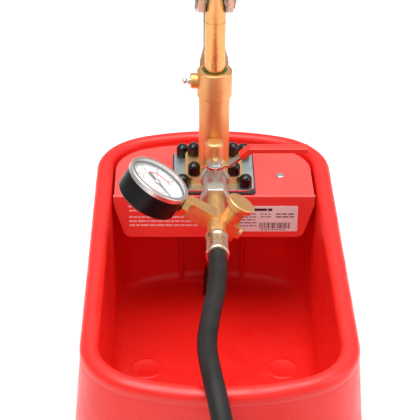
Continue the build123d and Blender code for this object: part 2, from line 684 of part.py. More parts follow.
# ================================================================== fulcrum
BRACKET_LOW = 281.0
with BuildPart() as fulcrum_bracket:
    # foot bolted to the collar's lug, with splayed sides
    with BuildSketch(Plane.XZ.offset(-LUG_Y)):
        with BuildLine():
            Polyline((-15, BRACKET_LOW), (15, BRACKET_LOW), (15, 303), (ARM_OUT, 318),
                     (-ARM_OUT, 318), (-15, 303), close=True)
        make_face()
    extrude(amount=-6)
    with BuildSketch(Plane.XZ.offset(-LUG_Y)):
        with Locations((0, 287), (0, 297)):
            Circle(2.6)
    extrude(amount=-6, mode=Mode.SUBTRACT)
    for side in (-1, 1):
        with BuildSketch(Plane.YZ.offset(side * (ARM_IN + ARM_OUT) / 2)) as arm_side:
            with BuildLine():
                Polyline((LUG_Y, 300), (LUG_Y, 322), (FULCRUM_Y - 8, FULCRUM_Z),
                         (FULCRUM_Y + 8, FULCRUM_Z), (LUG_Y + 18, 300), close=True)
            make_face()
            with Locations((FULCRUM_Y, FULCRUM_Z)):
                Circle(8)
                Circle(PIN_R, mode=Mode.SUBTRACT)
        extrude(amount=(ARM_OUT - ARM_IN) / 2, both=True)
fulcrum_bracket.part.label = "fulcrum_bracket"

with BuildPart() as bracket_screws:
    with BuildSketch(Plane.XZ.offset(-(LUG_Y + 6))):
        with Locations((0, 287), (0, 297)):
            Circle(4.2)
    extrude(amount=-4)
    with BuildSketch(Plane.XZ.offset(-(LUG_Y + 6))):
        with Locations((0, 287), (0, 297)):
            Circle(2.5)
    extrude(amount=13)
    with BuildSketch(Plane.XZ.offset(-(LUG_Y + 10))):
        with Locations((0, 287), (0, 297)):
            RegularPolygon(2, 6, major_radius=False)
    extrude(amount=2.5, mode=Mode.SUBTRACT)
bracket_screws.part.label = "bracket_screws"

with BuildPart() as fulcrum_pin:
    with BuildSketch(Plane.YZ.offset(-(CHEEK_OUT + 3.2))):
        with Locations((FULCRUM_Y, FULCRUM_Z)):
            Circle(PIN_R)
    extrude(amount=2 * (CHEEK_OUT + 3.2))
    with BuildSketch(Plane.YZ.offset(CHEEK_OUT + 0.5)):
        with Locations((FULCRUM_Y, FULCRUM_Z)):
            Circle(PIN_R + 3)
    extrude(amount=1.6)
    with BuildSketch(Plane.YZ.offset(-(CHEEK_OUT + 0.5))):
        with Locations((FULCRUM_Y, FULCRUM_Z)):
            Circle(PIN_R + 3)
    extrude(amount=-1.6)
fulcrum_pin.part.label = "fulcrum_pin"

# ================================================================== lever
handle = math.radians(HANDLE_REST)
arm = math.radians(ARM_REST)
SOCKET_REACH = 42.0
SOCKET_Y = PUMP_Y - SOCKET_REACH * math.cos(handle)
SOCKET_Z = PIN_Z + SOCKET_REACH * math.sin(handle)
# distance from the fulcrum to the piston pin: longest at rest, shortest with the arm level
SLOT_FAR = FULCRUM_BACK / math.cos(math.radians(31))
SLOT_NEAR = FULCRUM_BACK
SLOT_MID = (SLOT_FAR + SLOT_NEAR) / 2
SLOT_HALF = (SLOT_FAR - SLOT_NEAR) / 2 + PIN_R + 0.6
CHEEK_R = 13.0
CHEEK_TAIL = 9.0


def along_arm(distance):
    """Point on the line from the fulcrum towards the piston pin, lever raised, as (y, z)."""
    return (FULCRUM_Y - distance * math.cos(arm), FULCRUM_Z + distance * math.sin(arm))


with BuildPart() as lever_fork:
    for side in (-1, 1):
        with BuildSketch(Plane.YZ.offset(side * (CHEEK_IN + CHEEK_OUT) / 2)):
            with Locations((FULCRUM_Y, FULCRUM_Z)):
                Circle(CHEEK_TAIL)
            with Locations((PUMP_Y, PIN_Z)):
                Circle(CHEEK_R)
            with Locations((SOCKET_Y, SOCKET_Z)):
                Circle(CHEEK_R)
            make_hull()
            with Locations((FULCRUM_Y, FULCRUM_Z)):
                Circle(PIN_R + FIT, mode=Mode.SUBTRACT)
            with Locations(along_arm(SLOT_MID)):
                SlotOverall(2 * (SLOT_HALF + SLOT_CLEAR), 2 * (PIN_R + SLOT_CLEAR),
                            rotation=-ARM_REST, mode=Mode.SUBTRACT)
        extrude(amount=(CHEEK_OUT - CHEEK_IN) / 2, both=True)
    socket_plane = Plane(origin=(0, SOCKET_Y, SOCKET_Z), x_dir=(1, 0, 0),
                         z_dir=(0, -math.cos(handle), math.sin(handle)))
    with BuildSketch(socket_plane.offset(-4)):
        Rectangle(2 * CHEEK_OUT, 2 * CHEEK_R)
    extrude(amount=22)
    chamfer(lever_fork.edges().filter_by(Axis.X).sort_by(Axis.Z)[-2:], 2)
    with BuildSketch(socket_plane.offset(2)):
        Circle(LEVER_TUBE_R)
    extrude(amount=20, mode=Mode.SUBTRACT)
lever_fork.part.label = "lever_fork"

with BuildPart() as lever_tube:
    with BuildSketch(socket_plane.offset(2)):
        Circle(LEVER_TUBE_R)
        Circle(LEVER_TUBE_R - 1.8, mode=Mode.SUBTRACT)
    extrude(amount=LEVER_TUBE_L)
lever_tube.part.label = "lever_tube"

with BuildPart() as lever_grip:
    with BuildSketch(socket_plane.offset(2 + LEVER_TUBE_L - GRIP_L + 4)):
        Circle(LEVER_TUBE_R + 4)
    extrude(amount=GRIP_L)
    fillet(lever_grip.faces().sort_by(Axis.Z)[-1].edges(), 5)
    with BuildSketch(socket_plane.offset(2 + LEVER_TUBE_L - GRIP_L + 4)):
        Circle(LEVER_TUBE_R)
    extrude(amount=GRIP_L - 4, mode=Mode.SUBTRACT)
lever_grip.part.label = "lever_grip"

# ================================================================== shut-off valve
VALVE_REAR = VALVE_Y + 26.0
VALVE_FRONT = VALVE_Y - 25.0
BALL_R = 8.5
NECK_TOP = AXIS_Z + 24.0
with BuildPart() as ball_valve_body:
    with BuildSketch(Plane.XZ.offset(-VALVE_REAR)):
        with Locations((0, AXIS_Z)):
            Circle(12)
    extrude(amount=VALVE_REAR - VALVE_FRONT)
    for end in (VALVE_REAR, VALVE_FRONT + 11):
        with BuildSketch(Plane.XZ.offset(-end)):
            with Locations((0, AXIS_Z)):
                RegularPolygon(13.4, 6, major_radius=False)
        extrude(amount=11)
    with BuildSketch(Plane.XY.offset(AXIS_Z)):
        with Locations((0, VALVE_Y)):
            Circle(8.2)
    extrude(amount=17)
    with BuildSketch(Plane.XY.offset(AXIS_Z + 17)):
        with Locations((0, VALVE_Y)):
            Circle(6.2)
    extrude(amount=NECK_TOP - AXIS_Z - 17)
    chamfer(ball_valve_body.faces().sort_by(Axis.Y)[0].edges(), 1.0)
    with BuildSketch(Plane.XZ.offset(-VALVE_REAR)):
        with Locations((0, AXIS_Z)):
            Circle(5)
    extrude(amount=VALVE_REAR - VALVE_FRONT, mode=Mode.SUBTRACT)
    with BuildSketch(Plane.XZ.offset(-(VALVE_Y + 10))):
        with Locations((0, AXIS_Z)):
            Circle(BALL_R + 0.4)
    extrude(amount=20, mode=Mode.SUBTRACT)
    with BuildSketch(Plane.XZ.offset(-VALVE_REAR)):
        with Locations((0, AXIS_Z)):
            Circle(9)
    extrude(amount=9, mode=Mode.SUBTRACT)
    with BuildSketch(Plane.XZ.offset(-(VALVE_FRONT + 9))):
        with Locations((0, AXIS_Z)):
            Circle(9)
    extrude(amount=9, mode=Mode.SUBTRACT)
    with BuildSketch(Plane.XY.offset(AXIS_Z)):
        with Locations((0, VALVE_Y)):
            Circle(3.5 + FIT)
    extrude(amount=NECK_TOP - AXIS_Z, mode=Mode.SUBTRACT)
ball_valve_body.part.label = "ball_valve_body"

with BuildPart() as valve_ball:
    with Locations((0, VALVE_Y, AXIS_Z)):
        Sphere(BALL_R)
    with BuildSketch(Plane.YZ.offset(-BALL_R)):
        with Locations((VALVE_Y, AXIS_Z)):
            Circle(5)
    extrude(amount=2 * BALL_R, mode=Mode.SUBTRACT)
    with BuildSketch(Plane.XY.offset(AXIS_Z + BALL_R - 2)):
        with Locations((0, VALVE_Y)):
            Rectangle(12, 2.4)
    extrude(amount=3, mode=Mode.SUBTRACT)
valve_ball.part.label = "valve_ball"

HANDLE_Z = NECK_TOP + 3.0
HANDLE_T = 2.5
with BuildPart() as valve_stem:
    with BuildSketch(Plane.XY.offset(AXIS_Z + BALL_R - 2)):
        with Locations((0, VALVE_Y)):
            Rectangle(6.4, 2.3)
    extrude(amount=2.4)
    with BuildSketch(Plane.XY.offset(AXIS_Z + BALL_R + 0.4)):
        with Locations((0, VALVE_Y)):
            Circle(3.5)
    extrude(amount=HANDLE_Z + HANDLE_T + 5.6 - AXIS_Z - BALL_R - 0.4)
    chamfer(valve_stem.faces().sort_by(Axis.Z)[-1].edges(), 0.6)
valve_stem.part.label = "valve_stem"

HANDLE_W = 9.0
HANDLE_END = 92.5
BEND_LOW_X = 15.0
BEND_TOP_X = 36.0
HANDLE_RISE = 18.0
with BuildPart() as valve_handle:
    with BuildSketch(Plane.XZ.offset(-(VALVE_Y + HANDLE_W / 2))):
        with BuildLine() as strip:
            Polyline((0, HANDLE_Z), (BEND_LOW_X, HANDLE_Z),
                     (BEND_TOP_X, HANDLE_Z + HANDLE_RISE), (HANDLE_END - 2, HANDLE_Z + HANDLE_RISE),
                     (HANDLE_END - 2, HANDLE_Z + HANDLE_RISE + HANDLE_T),
                     (BEND_TOP_X - 1.2, HANDLE_Z + HANDLE_RISE + HANDLE_T),
                     (BEND_LOW_X - 1.2, HANDLE_Z + HANDLE_T), (0, HANDLE_Z + HANDLE_T), close=True)
        make_face()
    extrude(amount=HANDLE_W)
    fillet(valve_handle.edges().filter_by(Axis.Y).filter_by_position(
        Axis.X, BEND_LOW_X - 2, BEND_TOP_X + 1), 3)
    with BuildSketch(Plane.XY.offset(HANDLE_Z)):
        with Locations((0, VALVE_Y)):
            Circle(10.8)
    extrude(amount=HANDLE_T)
    with Locations((0, VALVE_Y, HANDLE_Z + HANDLE_T)):
        Hole(3.5, HANDLE_T)
valve_handle.part.label = "valve_handle"

SLEEVE_T = 1.3
with BuildPart() as valve_handle_sleeve:
    with BuildSketch(Plane.XZ.offset(-(VALVE_Y + HANDLE_W / 2 + SLEEVE_T))):
        with BuildLine():
            Polyline((BEND_TOP_X - 8, HANDLE_Z + HANDLE_RISE - 8.2),
                     (BEND_TOP_X + 1, HANDLE_Z + HANDLE_RISE - SLEEVE_T),
                     (HANDLE_END, HANDLE_Z + HANDLE_RISE - SLEEVE_T),
                     (HANDLE_END, HANDLE_Z + HANDLE_RISE + HANDLE_T + SLEEVE_T),
                     (BEND_TOP_X - 2.4, HANDLE_Z + HANDLE_RISE + HANDLE_T + SLEEVE_T),
                     (BEND_TOP_X - 12, HANDLE_Z + HANDLE_RISE - 4.2), close=True)
        make_face()
    extrude(amount=HANDLE_W + 2 * SLEEVE_T)
    fillet(valve_handle_sleeve.edges().filter_by(Axis.X), 1.0)
    add(valve_handle.part, mode=Mode.SUBTRACT)
valve_handle_sleeve.part.label = "valve_handle_sleeve"

with BuildPart() as valve_handle_nut:
    with BuildSketch(Plane.XY.offset(HANDLE_Z + HANDLE_T)):
        with Locations((0, VALVE_Y)):
            Circle(6.6)
            Circle(3.5, mode=Mode.SUBTRACT)
    extrude(amount=0.8)
    with BuildSketch(Plane.XY.offset(HANDLE_Z + HANDLE_T + 0.8)):
        with Locations((0, VALVE_Y)):
            RegularPolygon(5.5, 6, major_radius=False)
            Circle(3.5, mode=Mode.SUBTRACT)
    extrude(amount=4)
valve_handle_nut.part.label = "valve_handle_nut"

# ================================================================== manifold
tilt = math.radians(BRANCH)
ALONG = (-math.cos(tilt), 0, math.sin(tilt))       # towards the gauge
ACROSS = (math.sin(tilt), 0, math.cos(tilt))       # towards the relief knob, and the gauge's face
CENTRE = Vector(0, CROSS_Y, AXIS_Z)
gauge_arm = Plane(origin=CENTRE, x_dir=(0, 1, 0), z_dir=ALONG)
relief_axis = Plane(origin=CENTRE - Vector(*ALONG) * RELIEF_OFF, x_dir=(0, 1, 0), z_dir=ACROSS)
GAUGE_FACE = Plane(origin=CENTRE + Vector(*ALONG) * GAUGE_OUT, x_dir=(0, 1, 0), z_dir=ACROSS)
ARM_SIDE = 17.0
BLOCK_FRONT = -12.0
BLOCK_REAR = 40.0
RUN_R = 9.2
RELIEF_TOP = 21.0
DRAIN_L = 5.0
with BuildPart() as manifold_block:
    with BuildSketch(Plane.XZ.offset(-BLOCK_REAR)):
        with Locations((0, AXIS_Z)):
            Circle(RUN_R)
    extrude(amount=BLOCK_REAR - BLOCK_FRONT)
    with BuildSketch(Plane.XZ.offset(-(VALVE_FRONT + 8))):
        with Locations((0, AXIS_Z)):
            Circle(8.95)
    extrude(amount=VALVE_FRONT + 8 - BLOCK_REAR)
    with BuildSketch(gauge_arm.offset(-22)):
        Rectangle(ARM_SIDE, ARM_SIDE)
    extrude(amount=22 + 33)
    chamfer(manifold_block.faces().filter_by(GeomType.PLANE).sort_by(Axis.X)[0].edges(), 1.0)
    with BuildSketch(relief_axis.offset(-9)):
        Circle(9.6)
    extrude(amount=9 + RELIEF_TOP)
    # bores: run, gauge branch, relief screw, drain
    with BuildSketch(Plane.XZ.offset(-(VALVE_FRONT + 8))):
        with Locations((0, AXIS_Z)):
            Circle(4.5)
    extrude(amount=VALVE_FRONT + 8 - BLOCK_FRONT, mode=Mode.SUBTRACT)
    with BuildSketch(gauge_arm):
        Circle(2.5)
    extrude(amount=33, mode=Mode.SUBTRACT)
    with BuildSketch(gauge_arm.offset(20)):
        Circle(6.5)
    extrude(amount=13, mode=Mode.SUBTRACT)
    with BuildSketch(gauge_arm):
        Circle(2)
    extrude(amount=-22, mode=Mode.SUBTRACT)
    with BuildSketch(relief_axis.offset(2.5)):
        Circle(4 + FIT)
    extrude(amount=RELIEF_TOP - 2.5, mode=Mode.SUBTRACT)
    with BuildSketch(relief_axis):
        Circle(2.2)
    extrude(amount=2.5, mode=Mode.SUBTRACT)
    with BuildSketch(Plane.XZ.offset(-(BLOCK_FRONT + 8))):
        with Locations((0, AXIS_Z)):
            Circle(6)
    extrude(amount=8, mode=Mode.SUBTRACT)
manifold_block.part.label = "manifold_block"

with BuildPart() as drain_spout:
    with BuildSketch(gauge_arm.offset(-22)):
        Circle(6.5)
        Circle(3, mode=Mode.SUBTRACT)
    extrude(amount=-DRAIN_L)
drain_spout.part.label = "drain_spout"

RELIEF_TRAVEL = 1.5
with BuildPart() as relief_spindle:
    with BuildSketch(relief_axis.offset(3.5)):
        Circle(2.0)
    with BuildSketch(relief_axis.offset(6.5)):
        Circle(4.0)
    loft()
    with BuildSketch(relief_axis.offset(6.5)):
        Circle(4.0)
    extrude(amount=RELIEF_TOP - 6.5 + 3)
relief_spindle.part.label = "relief_spindle"

with BuildPart() as relief_knob:
    with BuildSketch(relief_axis.offset(RELIEF_TOP + 0.5)):
        Circle(9.6)
        Circle(4.0 + FIT, mode=Mode.SUBTRACT)
    extrude(amount=4.5)
    with BuildSketch(relief_axis.offset(RELIEF_TOP + 5.0)):
        Circle(14)
    extrude(amount=5.2)
    chamfer(relief_knob.faces().filter_by(GeomType.PLANE).sort_by(Axis.Z)[-1].edges(), 0.8)
relief_knob.part.label = "relief_knob"

# ================================================================== gauge
CASE_R = 31.2
with BuildPart() as gauge_socket:
    with BuildSketch(gauge_arm.offset(22)):
        Circle(6.4)
    extrude(amount=11)
    with BuildSketch(gauge_arm.offset(33)):
        RegularPolygon(8.5, 6, major_radius=False)
    extrude(amount=6.7)
    with BuildSketch(gauge_arm.offset(39.7)):
        Circle(5)
    extrude(amount=GAUGE_OUT - 39.7 - 12)
    with BuildSketch(gauge_arm.offset(22)):
        Circle(1.5)
    extrude(amount=GAUGE_OUT - 39.7, mode=Mode.SUBTRACT)
gauge_socket.part.label = "gauge_socket"

with BuildPart() as gauge_case:
    with BuildSketch(GAUGE_FACE.offset(-14)):
        Circle(CASE_R)
    extrude(amount=24)
    fillet(gauge_case.faces().filter_by(GeomType.PLANE).sort_by(Axis.Z)[0].edges(), 2.5)
    with BuildSketch(GAUGE_FACE.offset(-12)):
        Circle(CASE_R - 1.8)
    extrude(amount=22, mode=Mode.SUBTRACT)
    with BuildSketch(gauge_arm.offset(GAUGE_OUT - CASE_R - 2)):
        Circle(5)
    extrude(amount=6, mode=Mode.SUBTRACT)
gauge_case.part.label = "gauge_case"

with BuildPart() as gauge_movement:
    with BuildSketch(GAUGE_FACE.offset(-3)):
        Circle(22)
        Circle(17, mode=Mode.SUBTRACT)
        with Locations((18, -10)):
            Rectangle(22, 26, mode=Mode.SUBTRACT)
    extrude(amount=5)
    with BuildSketch(GAUGE_FACE.offset(-5)):
        with Locations((0, -15)):
            Rectangle(12, 12)
        RectangleRounded(16, 20, 2)
    extrude(amount=9)
    with BuildSketch(GAUGE_FACE.offset(-5)):
        Circle(1.2)
    extrude(amount=9, mode=Mode.SUBTRACT)
    with BuildSketch(gauge_arm.offset(GAUGE_OUT - 26)):
        Circle(5.1)
    extrude(amount=14, mode=Mode.SUBTRACT)
gauge_movement.part.label = "gauge_movement"

DIAL_R = 28.4
with BuildPart() as gauge_dial:
    with BuildSketch(GAUGE_FACE.offset(7)):
        Circle(DIAL_R)
        Circle(1.6, mode=Mode.SUBTRACT)
    extrude(amount=0.8)
gauge_dial.part.label = "gauge_dial"

# the pointer rests on zero, down to the left: 225 degrees clockwise from the top
ZERO = math.radians(225)
NEEDLE_L = 21.0
TAIL_L = 13.0
with BuildPart() as gauge_needle:
    with BuildSketch(GAUGE_FACE.offset(8.8)):
        with BuildLine():
            Polyline(
                (NEEDLE_L * math.sin(ZERO), NEEDLE_L * math.cos(ZERO)),
                (1.3 * math.cos(ZERO), -1.3 * math.sin(ZERO)),
                (-TAIL_L * math.sin(ZERO) + 1.8 * math.cos(ZERO),
                 -TAIL_L * math.cos(ZERO) - 1.8 * math.sin(ZERO)),
                (-TAIL_L * math.sin(ZERO) - 1.8 * math.cos(ZERO),
                 -TAIL_L * math.cos(ZERO) + 1.8 * math.sin(ZERO)),
                (-1.3 * math.cos(ZERO), 1.3 * math.sin(ZERO)), close=True)
        make_face()
        Circle(3)
    extrude(amount=0.7)
    with BuildSketch(GAUGE_FACE.offset(4.6)):
        Circle(1.1)
    extrude(amount=4.3)
gauge_needle.part.label = "gauge_needle"

with BuildPart() as gauge_window:
    with BuildSketch(GAUGE_FACE.offset(11.0)):
        Circle(29.2)
    extrude(amount=1.8)
gauge_window.part.label = "gauge_window"

with BuildPart() as gauge_bezel:
    with BuildSketch(GAUGE_FACE.offset(8.5)):
        Circle(GAUGE_R)
        Circle(CASE_R, mode=Mode.SUBTRACT)
    extrude(amount=1.5)
    with BuildSketch(GAUGE_FACE.offset(10)):
        Circle(GAUGE_R)
        Circle(29.2, mode=Mode.SUBTRACT)
    extrude(amount=3.8)
    with BuildSketch(GAUGE_FACE.offset(12.8)):
        Circle(30)
        Circle(28.2, mode=Mode.SUBTRACT)
    extrude(amount=1.0)
    fillet(gauge_bezel.faces().filter_by(GeomType.PLANE).sort_by(Axis.Z)[-1].edges().sort_by(
        SortBy.RADIUS)[-1], 1.2)
gauge_bezel.part.label = "gauge_bezel"

# ================================================================== hose
HEX_FRONT = BLOCK_FRONT - 7.0
with BuildPart() as hose_insert:
    with BuildSketch(Plane.XZ.offset(-(BLOCK_FRONT + 8))):
        with Locations((0, AXIS_Z)):
            Circle(5.95)
    extrude(amount=8)
    with BuildSketch(Plane.XZ.offset(-BLOCK_FRONT)):
        with Locations((0, AXIS_Z)):
            RegularPolygon(9.5, 6, major_radius=False)
    extrude(amount=7)
    with BuildSketch(Plane.XZ.offset(-(BLOCK_FRONT + 8))):
        with Locations((0, AXIS_Z)):
            Circle(3)
    extrude(amount=15, mode=Mode.SUBTRACT)
hose_insert.part.label = "hose_insert"

with BuildPart() as hose_ferrule:
    with BuildSketch(Plane.XZ.offset(-HEX_FRONT)):
        with Locations((0, AXIS_Z)):
            Circle(FERRULE_R)
    extrude(amount=HEX_FRONT - FERRULE_END)
    fillet(hose_ferrule.faces().filter_by(GeomType.PLANE).edges(), 1.8)
hose_ferrule.part.label = "hose_ferrule"


def corner_radii(route):
    """Radius of each corner's arc: as large as its two runs allow."""
    radii = []
    for before, corner, after in zip(route, route[1:], route[2:]):
        run_in = Vector(*corner) - Vector(*before)
        run_out = Vector(*after) - Vector(*corner)
        half_turn = math.radians(run_in.get_angle(run_out)) / 2
        radii.append(0.45 * min(run_in.length, run_out.length) / math.tan(half_turn))
    return radii


radii = corner_radii(HOSE_ROUTE)
print("hose corner radii", [round(radius) for radius in radii])
with BuildPart() as pressure_hose:
    with BuildLine() as hose_line:
        FilletPolyline(*HOSE_ROUTE, radius=radii)
    with BuildSketch(Plane(origin=hose_line.line @ 0, z_dir=hose_line.line % 0)):
        Circle(HOSE_R)
    sweep()
pressure_hose.part.label = "pressure_hose"
hose_length = hose_line.wire().length
hose_ideal = math.pi * HOSE_R**2 * hose_length
print("hose tube length", round(hose_length, 1), "volume ratio", pressure_hose.part.volume / hose_ideal)

with BuildPart() as hose_coil:
    with BuildSketch(Plane.XY):
        with Locations((COIL_X, COIL_Y)):
            Circle(COIL_R_OUT + HOSE_R)
            Circle(COIL_R_IN - HOSE_R, mode=Mode.SUBTRACT)
    extrude(amount=2 * HOSE_R)
    fillet(hose_coil.edges(), 6)
    # room for the incoming hose, and the last stretch up to the connector
    with BuildSketch(Plane.XY):
        with Locations((HOSE_ROUTE[-1][0], COIL_Y + 60)):
            Rectangle(24, 120)
    extrude(amount=3 * HOSE_R, mode=Mode.SUBTRACT)
    with BuildLine() as rise:
        FilletPolyline((COIL_X + 62, COIL_Y + 47, HOSE_R + 0.6), (END_X + 30, END_Y, END_Z),
                       (END_X, END_Y, END_Z), radius=38)
    with BuildSketch(Plane(origin=rise.line @ 0, z_dir=rise.line % 0)):
        Circle(HOSE_R)
    sweep()
hose_coil.part.label = "hose_coil"

# connector on the hose's far end, lying on the coil and facing -X
hose_end = Plane(origin=(END_X, END_Y, END_Z), x_dir=(0, 1, 0), z_dir=(-1, 0, 0))
with BuildPart() as hose_end_ferrule:
    with BuildSketch(hose_end):
        Circle(FERRULE_R)
    extrude(amount=28)
    fillet(hose_end_ferrule.faces().filter_by(GeomType.PLANE).edges(), 1.8)
    with BuildSketch(hose_end.offset(28)):
        Circle(6)
    extrude(amount=6)
    with BuildSketch(hose_end.offset(34)):
        Circle(8.5)
    extrude(amount=3)
    with BuildSketch(hose_end.offset(37)):
        Circle(3)
    extrude(amount=-20, mode=Mode.SUBTRACT)
hose_end_ferrule.part.label = "hose_end_ferrule"

END_THREAD_R = 9.9
with BuildPart() as hose_end_nut:
    with BuildSketch(hose_end.offset(29)):
        RegularPolygon(END_NUT_R, 6, major_radius=False)
    extrude(amount=20)
    chamfer(hose_end_nut.faces().filter_by(GeomType.PLANE).sort_by(Axis.X)[0].edges(), 0.8)
    with BuildSketch(hose_end.offset(29)):
        Circle(6 + FIT)
    extrude(amount=5, mode=Mode.SUBTRACT)
    with BuildSketch(hose_end.offset(33.7)):
        Circle(9.2)
    extrude(amount=3.5, mode=Mode.SUBTRACT)
    with BuildSketch(hose_end.offset(37.2)):
        Circle(END_THREAD_R)
    extrude(amount=12, mode=Mode.SUBTRACT)
hose_end_nut.part.label = "hose_end_nut"

for piece in (
    tank_shell, pump_cover, cover_screws, rating_label, base_gasket, mounting_plate,
    plate_bolts, plate_bolt_nuts, plate_bolt_caps, flange_bolts, flange_bolt_nuts, flange_bolt_caps,
    pump_base, delivery_valve_cap, delivery_ball, delivery_spring, suction_valve_body, suction_ball,
    suction_ball_guard, suction_pipe, suction_strainer, cylinder_tube, cylinder_collar, grease_nipple,
    guide_bush, rod_seal, piston_rod, piston_head, piston_seals, piston_nut, piston_pin,
    fulcrum_bracket, bracket_screws, fulcrum_pin, lever_fork, lever_tube, lever_grip, ball_valve_body,
    valve_ball, valve_stem, valve_handle, valve_handle_sleeve, valve_handle_nut, manifold_block,
    drain_spout, relief_spindle, relief_knob, gauge_socket, gauge_case, gauge_movement, gauge_dial,
    gauge_needle, gauge_window, gauge_bezel, hose_insert, hose_ferrule, pressure_hose, hose_coil,
    hose_end_ferrule, hose_end_nut,
):
    export_step(piece.part, f"parts/{piece.part.label}.step")
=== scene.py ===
"""Looks of a hand-operated pressure test pump: red plastic tank, brass lever pump, gauge and hose."""
import math
import random

import bmesh
import bpy
from mathutils import Matrix, Vector


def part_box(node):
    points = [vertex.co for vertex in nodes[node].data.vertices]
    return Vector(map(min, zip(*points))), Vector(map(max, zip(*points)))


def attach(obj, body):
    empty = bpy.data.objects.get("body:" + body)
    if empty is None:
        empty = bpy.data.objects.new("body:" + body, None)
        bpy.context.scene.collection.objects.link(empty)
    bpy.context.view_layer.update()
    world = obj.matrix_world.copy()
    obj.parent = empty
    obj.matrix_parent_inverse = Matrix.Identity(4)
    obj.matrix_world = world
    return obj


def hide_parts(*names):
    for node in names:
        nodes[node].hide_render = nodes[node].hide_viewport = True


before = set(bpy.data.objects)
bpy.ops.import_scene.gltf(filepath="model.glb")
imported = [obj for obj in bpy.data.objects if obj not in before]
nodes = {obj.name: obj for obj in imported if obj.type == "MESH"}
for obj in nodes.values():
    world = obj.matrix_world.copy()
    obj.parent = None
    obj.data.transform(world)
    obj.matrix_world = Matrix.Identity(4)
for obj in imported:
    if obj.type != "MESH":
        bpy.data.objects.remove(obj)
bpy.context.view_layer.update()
MM = 0.001
UP = Vector((0, 0, 1))


# ---------------------------------------------------------------- camera
CAMERA_PLACE = (-0.0338, -1.2155, 0.967)
CAMERA_DOWN = 31.3       # degrees below the horizon
CAMERA_LENS = 126        # millimetres, on a 36 mm sensor
CAMERA_SHIFT = 0.0671


def add_camera():
    data = bpy.data.cameras.new("camera")
    data.sensor_width = 36
    data.lens = CAMERA_LENS
    data.shift_x = CAMERA_SHIFT
    data.clip_end = 20
    camera = bpy.data.objects.new("camera", data)
    camera.location = CAMERA_PLACE
    camera.rotation_euler = (math.radians(90 - CAMERA_DOWN), 0, 0)
    bpy.context.scene.collection.objects.link(camera)
    bpy.context.scene.camera = camera


add_camera()


# ---------------------------------------------------------------- mesh helpers
def mesh_object(name, verts, faces, smooth=True):
    """Object from lists of points (metres) and faces."""
    mesh = bpy.data.meshes.new(name)
    mesh.from_pydata([tuple(v) for v in verts], [], faces)
    mesh.validate()
    mesh.update()
    made = bpy.data.objects.new(name, mesh)
    bpy.context.scene.collection.objects.link(made)
    work = bmesh.new()
    work.from_mesh(mesh)
    bmesh.ops.remove_doubles(work, verts=work.verts, dist=1e-6)
    bmesh.ops.recalc_face_normals(work, faces=work.faces)
    for face in work.faces:
        face.smooth = smooth
    work.to_mesh(mesh)
    work.free()
    return made


def sharpen(piece, degrees=35):
    """Edges sharper than this angle stay crisp under smooth shading."""
    work = bmesh.new()
    work.from_mesh(piece.data)
    for edge in work.edges:
        edge.smooth = len(edge.link_faces) < 2 or edge.calc_face_angle(0) < math.radians(degrees)
    work.to_mesh(piece.data)
    work.free()
    return piece


def skin(name, rings):
    """Closed surface through rings of equally many points."""
    count = len(rings[0])
    verts = [p for ring in rings for p in ring]
    faces = []
    for i in range(len(rings) - 1):
        a, b = i * count, (i + 1) * count
        for k in range(count):
            m = (k + 1) % count
            faces.append((a + k, a + m, b + m, b + k))
    faces.append(tuple(range(count))[::-1])
    faces.append(tuple((len(rings) - 1) * count + k for k in range(count)))
    return mesh_object(name, verts, faces)


def basis(axis):
    """Two unit vectors square to an axis."""
    axis = Vector(axis).normalized()
    side = axis.cross(Vector((1, 0, 0)) if abs(axis.x) < 0.9 else Vector((0, 1, 0))).normalized()
    return side, axis.cross(side).normalized()


def lathe(name, profile, origin, axis, segments=64, shape=None):
    """Turned piece: profile is a list of (distance along the axis, radius), in millimetres.
    shape(angle, along) may return a factor on the radius."""
    axis = Vector(axis).normalized()
    side, other = basis(axis)
    rings = []
    for along, radius in profile:
        ring = []
        for k in range(segments):
            angle = math.tau * k / segments
            r = radius * (shape(angle, along) if shape else 1) * MM
            ring.append(Vector(origin) + axis * along * MM
                        + side * r * math.cos(angle) + other * r * math.sin(angle))
        rings.append(ring)
    return skin(name, rings)


def join(pieces, name):
    """One mesh object out of several, all with no parent."""
    verts, faces, smooth = [], [], []
    for piece in pieces:
        start = len(verts)
        verts += [piece.matrix_world @ v.co for v in piece.data.vertices]
        faces += [tuple(start + i for i in f.vertices) for f in piece.data.polygons]
        smooth += [f.use_smooth for f in piece.data.polygons]
        bpy.data.objects.remove(piece)
    mesh = bpy.data.meshes.new(name)
    mesh.from_pydata([tuple(v) for v in verts], [], faces)
    mesh.polygons.foreach_set("use_smooth", smooth)
    made = bpy.data.objects.new(name, mesh)
    bpy.context.scene.collection.objects.link(made)
    return made


# ---------------------------------------------------------------- material helpers
def principled(name, colour, roughness, **more):
    """Material with one Principled shader; more gives its other sockets."""
    made = bpy.data.materials.new(name)
    made.use_nodes = True
    shader = made.node_tree.nodes["Principled BSDF"]
    shader.inputs["Base Color"].default_value = (*colour, 1)
    shader.inputs["Roughness"].default_value = roughness
    for socket, value in more.items():
        shader.inputs[socket.replace("_", " ")].default_value = value
    return made


def place_of(tree, stretch=(1, 1, 1)):
    """The object's own coordinates, stretched."""
    place = tree.nodes.new("ShaderNodeTexCoord")
    mapping = tree.nodes.new("ShaderNodeMapping")
    mapping.inputs["Scale"].default_value = stretch
    tree.links.new(place.outputs["Object"], mapping.inputs["Vector"])
    return mapping.outputs["Vector"]


def noise(tree, scale, detail=3, stretch=(1, 1, 1)):
    """Cloudy texture value in the object's own space."""
    made = tree.nodes.new("ShaderNodeTexNoise")
    made.inputs["Scale"].default_value = scale
    made.inputs["Detail"].default_value = detail
    made.inputs["Roughness"].default_value = 0.55
    tree.links.new(place_of(tree, stretch), made.inputs["Vector"])
    return made.outputs["Fac"]


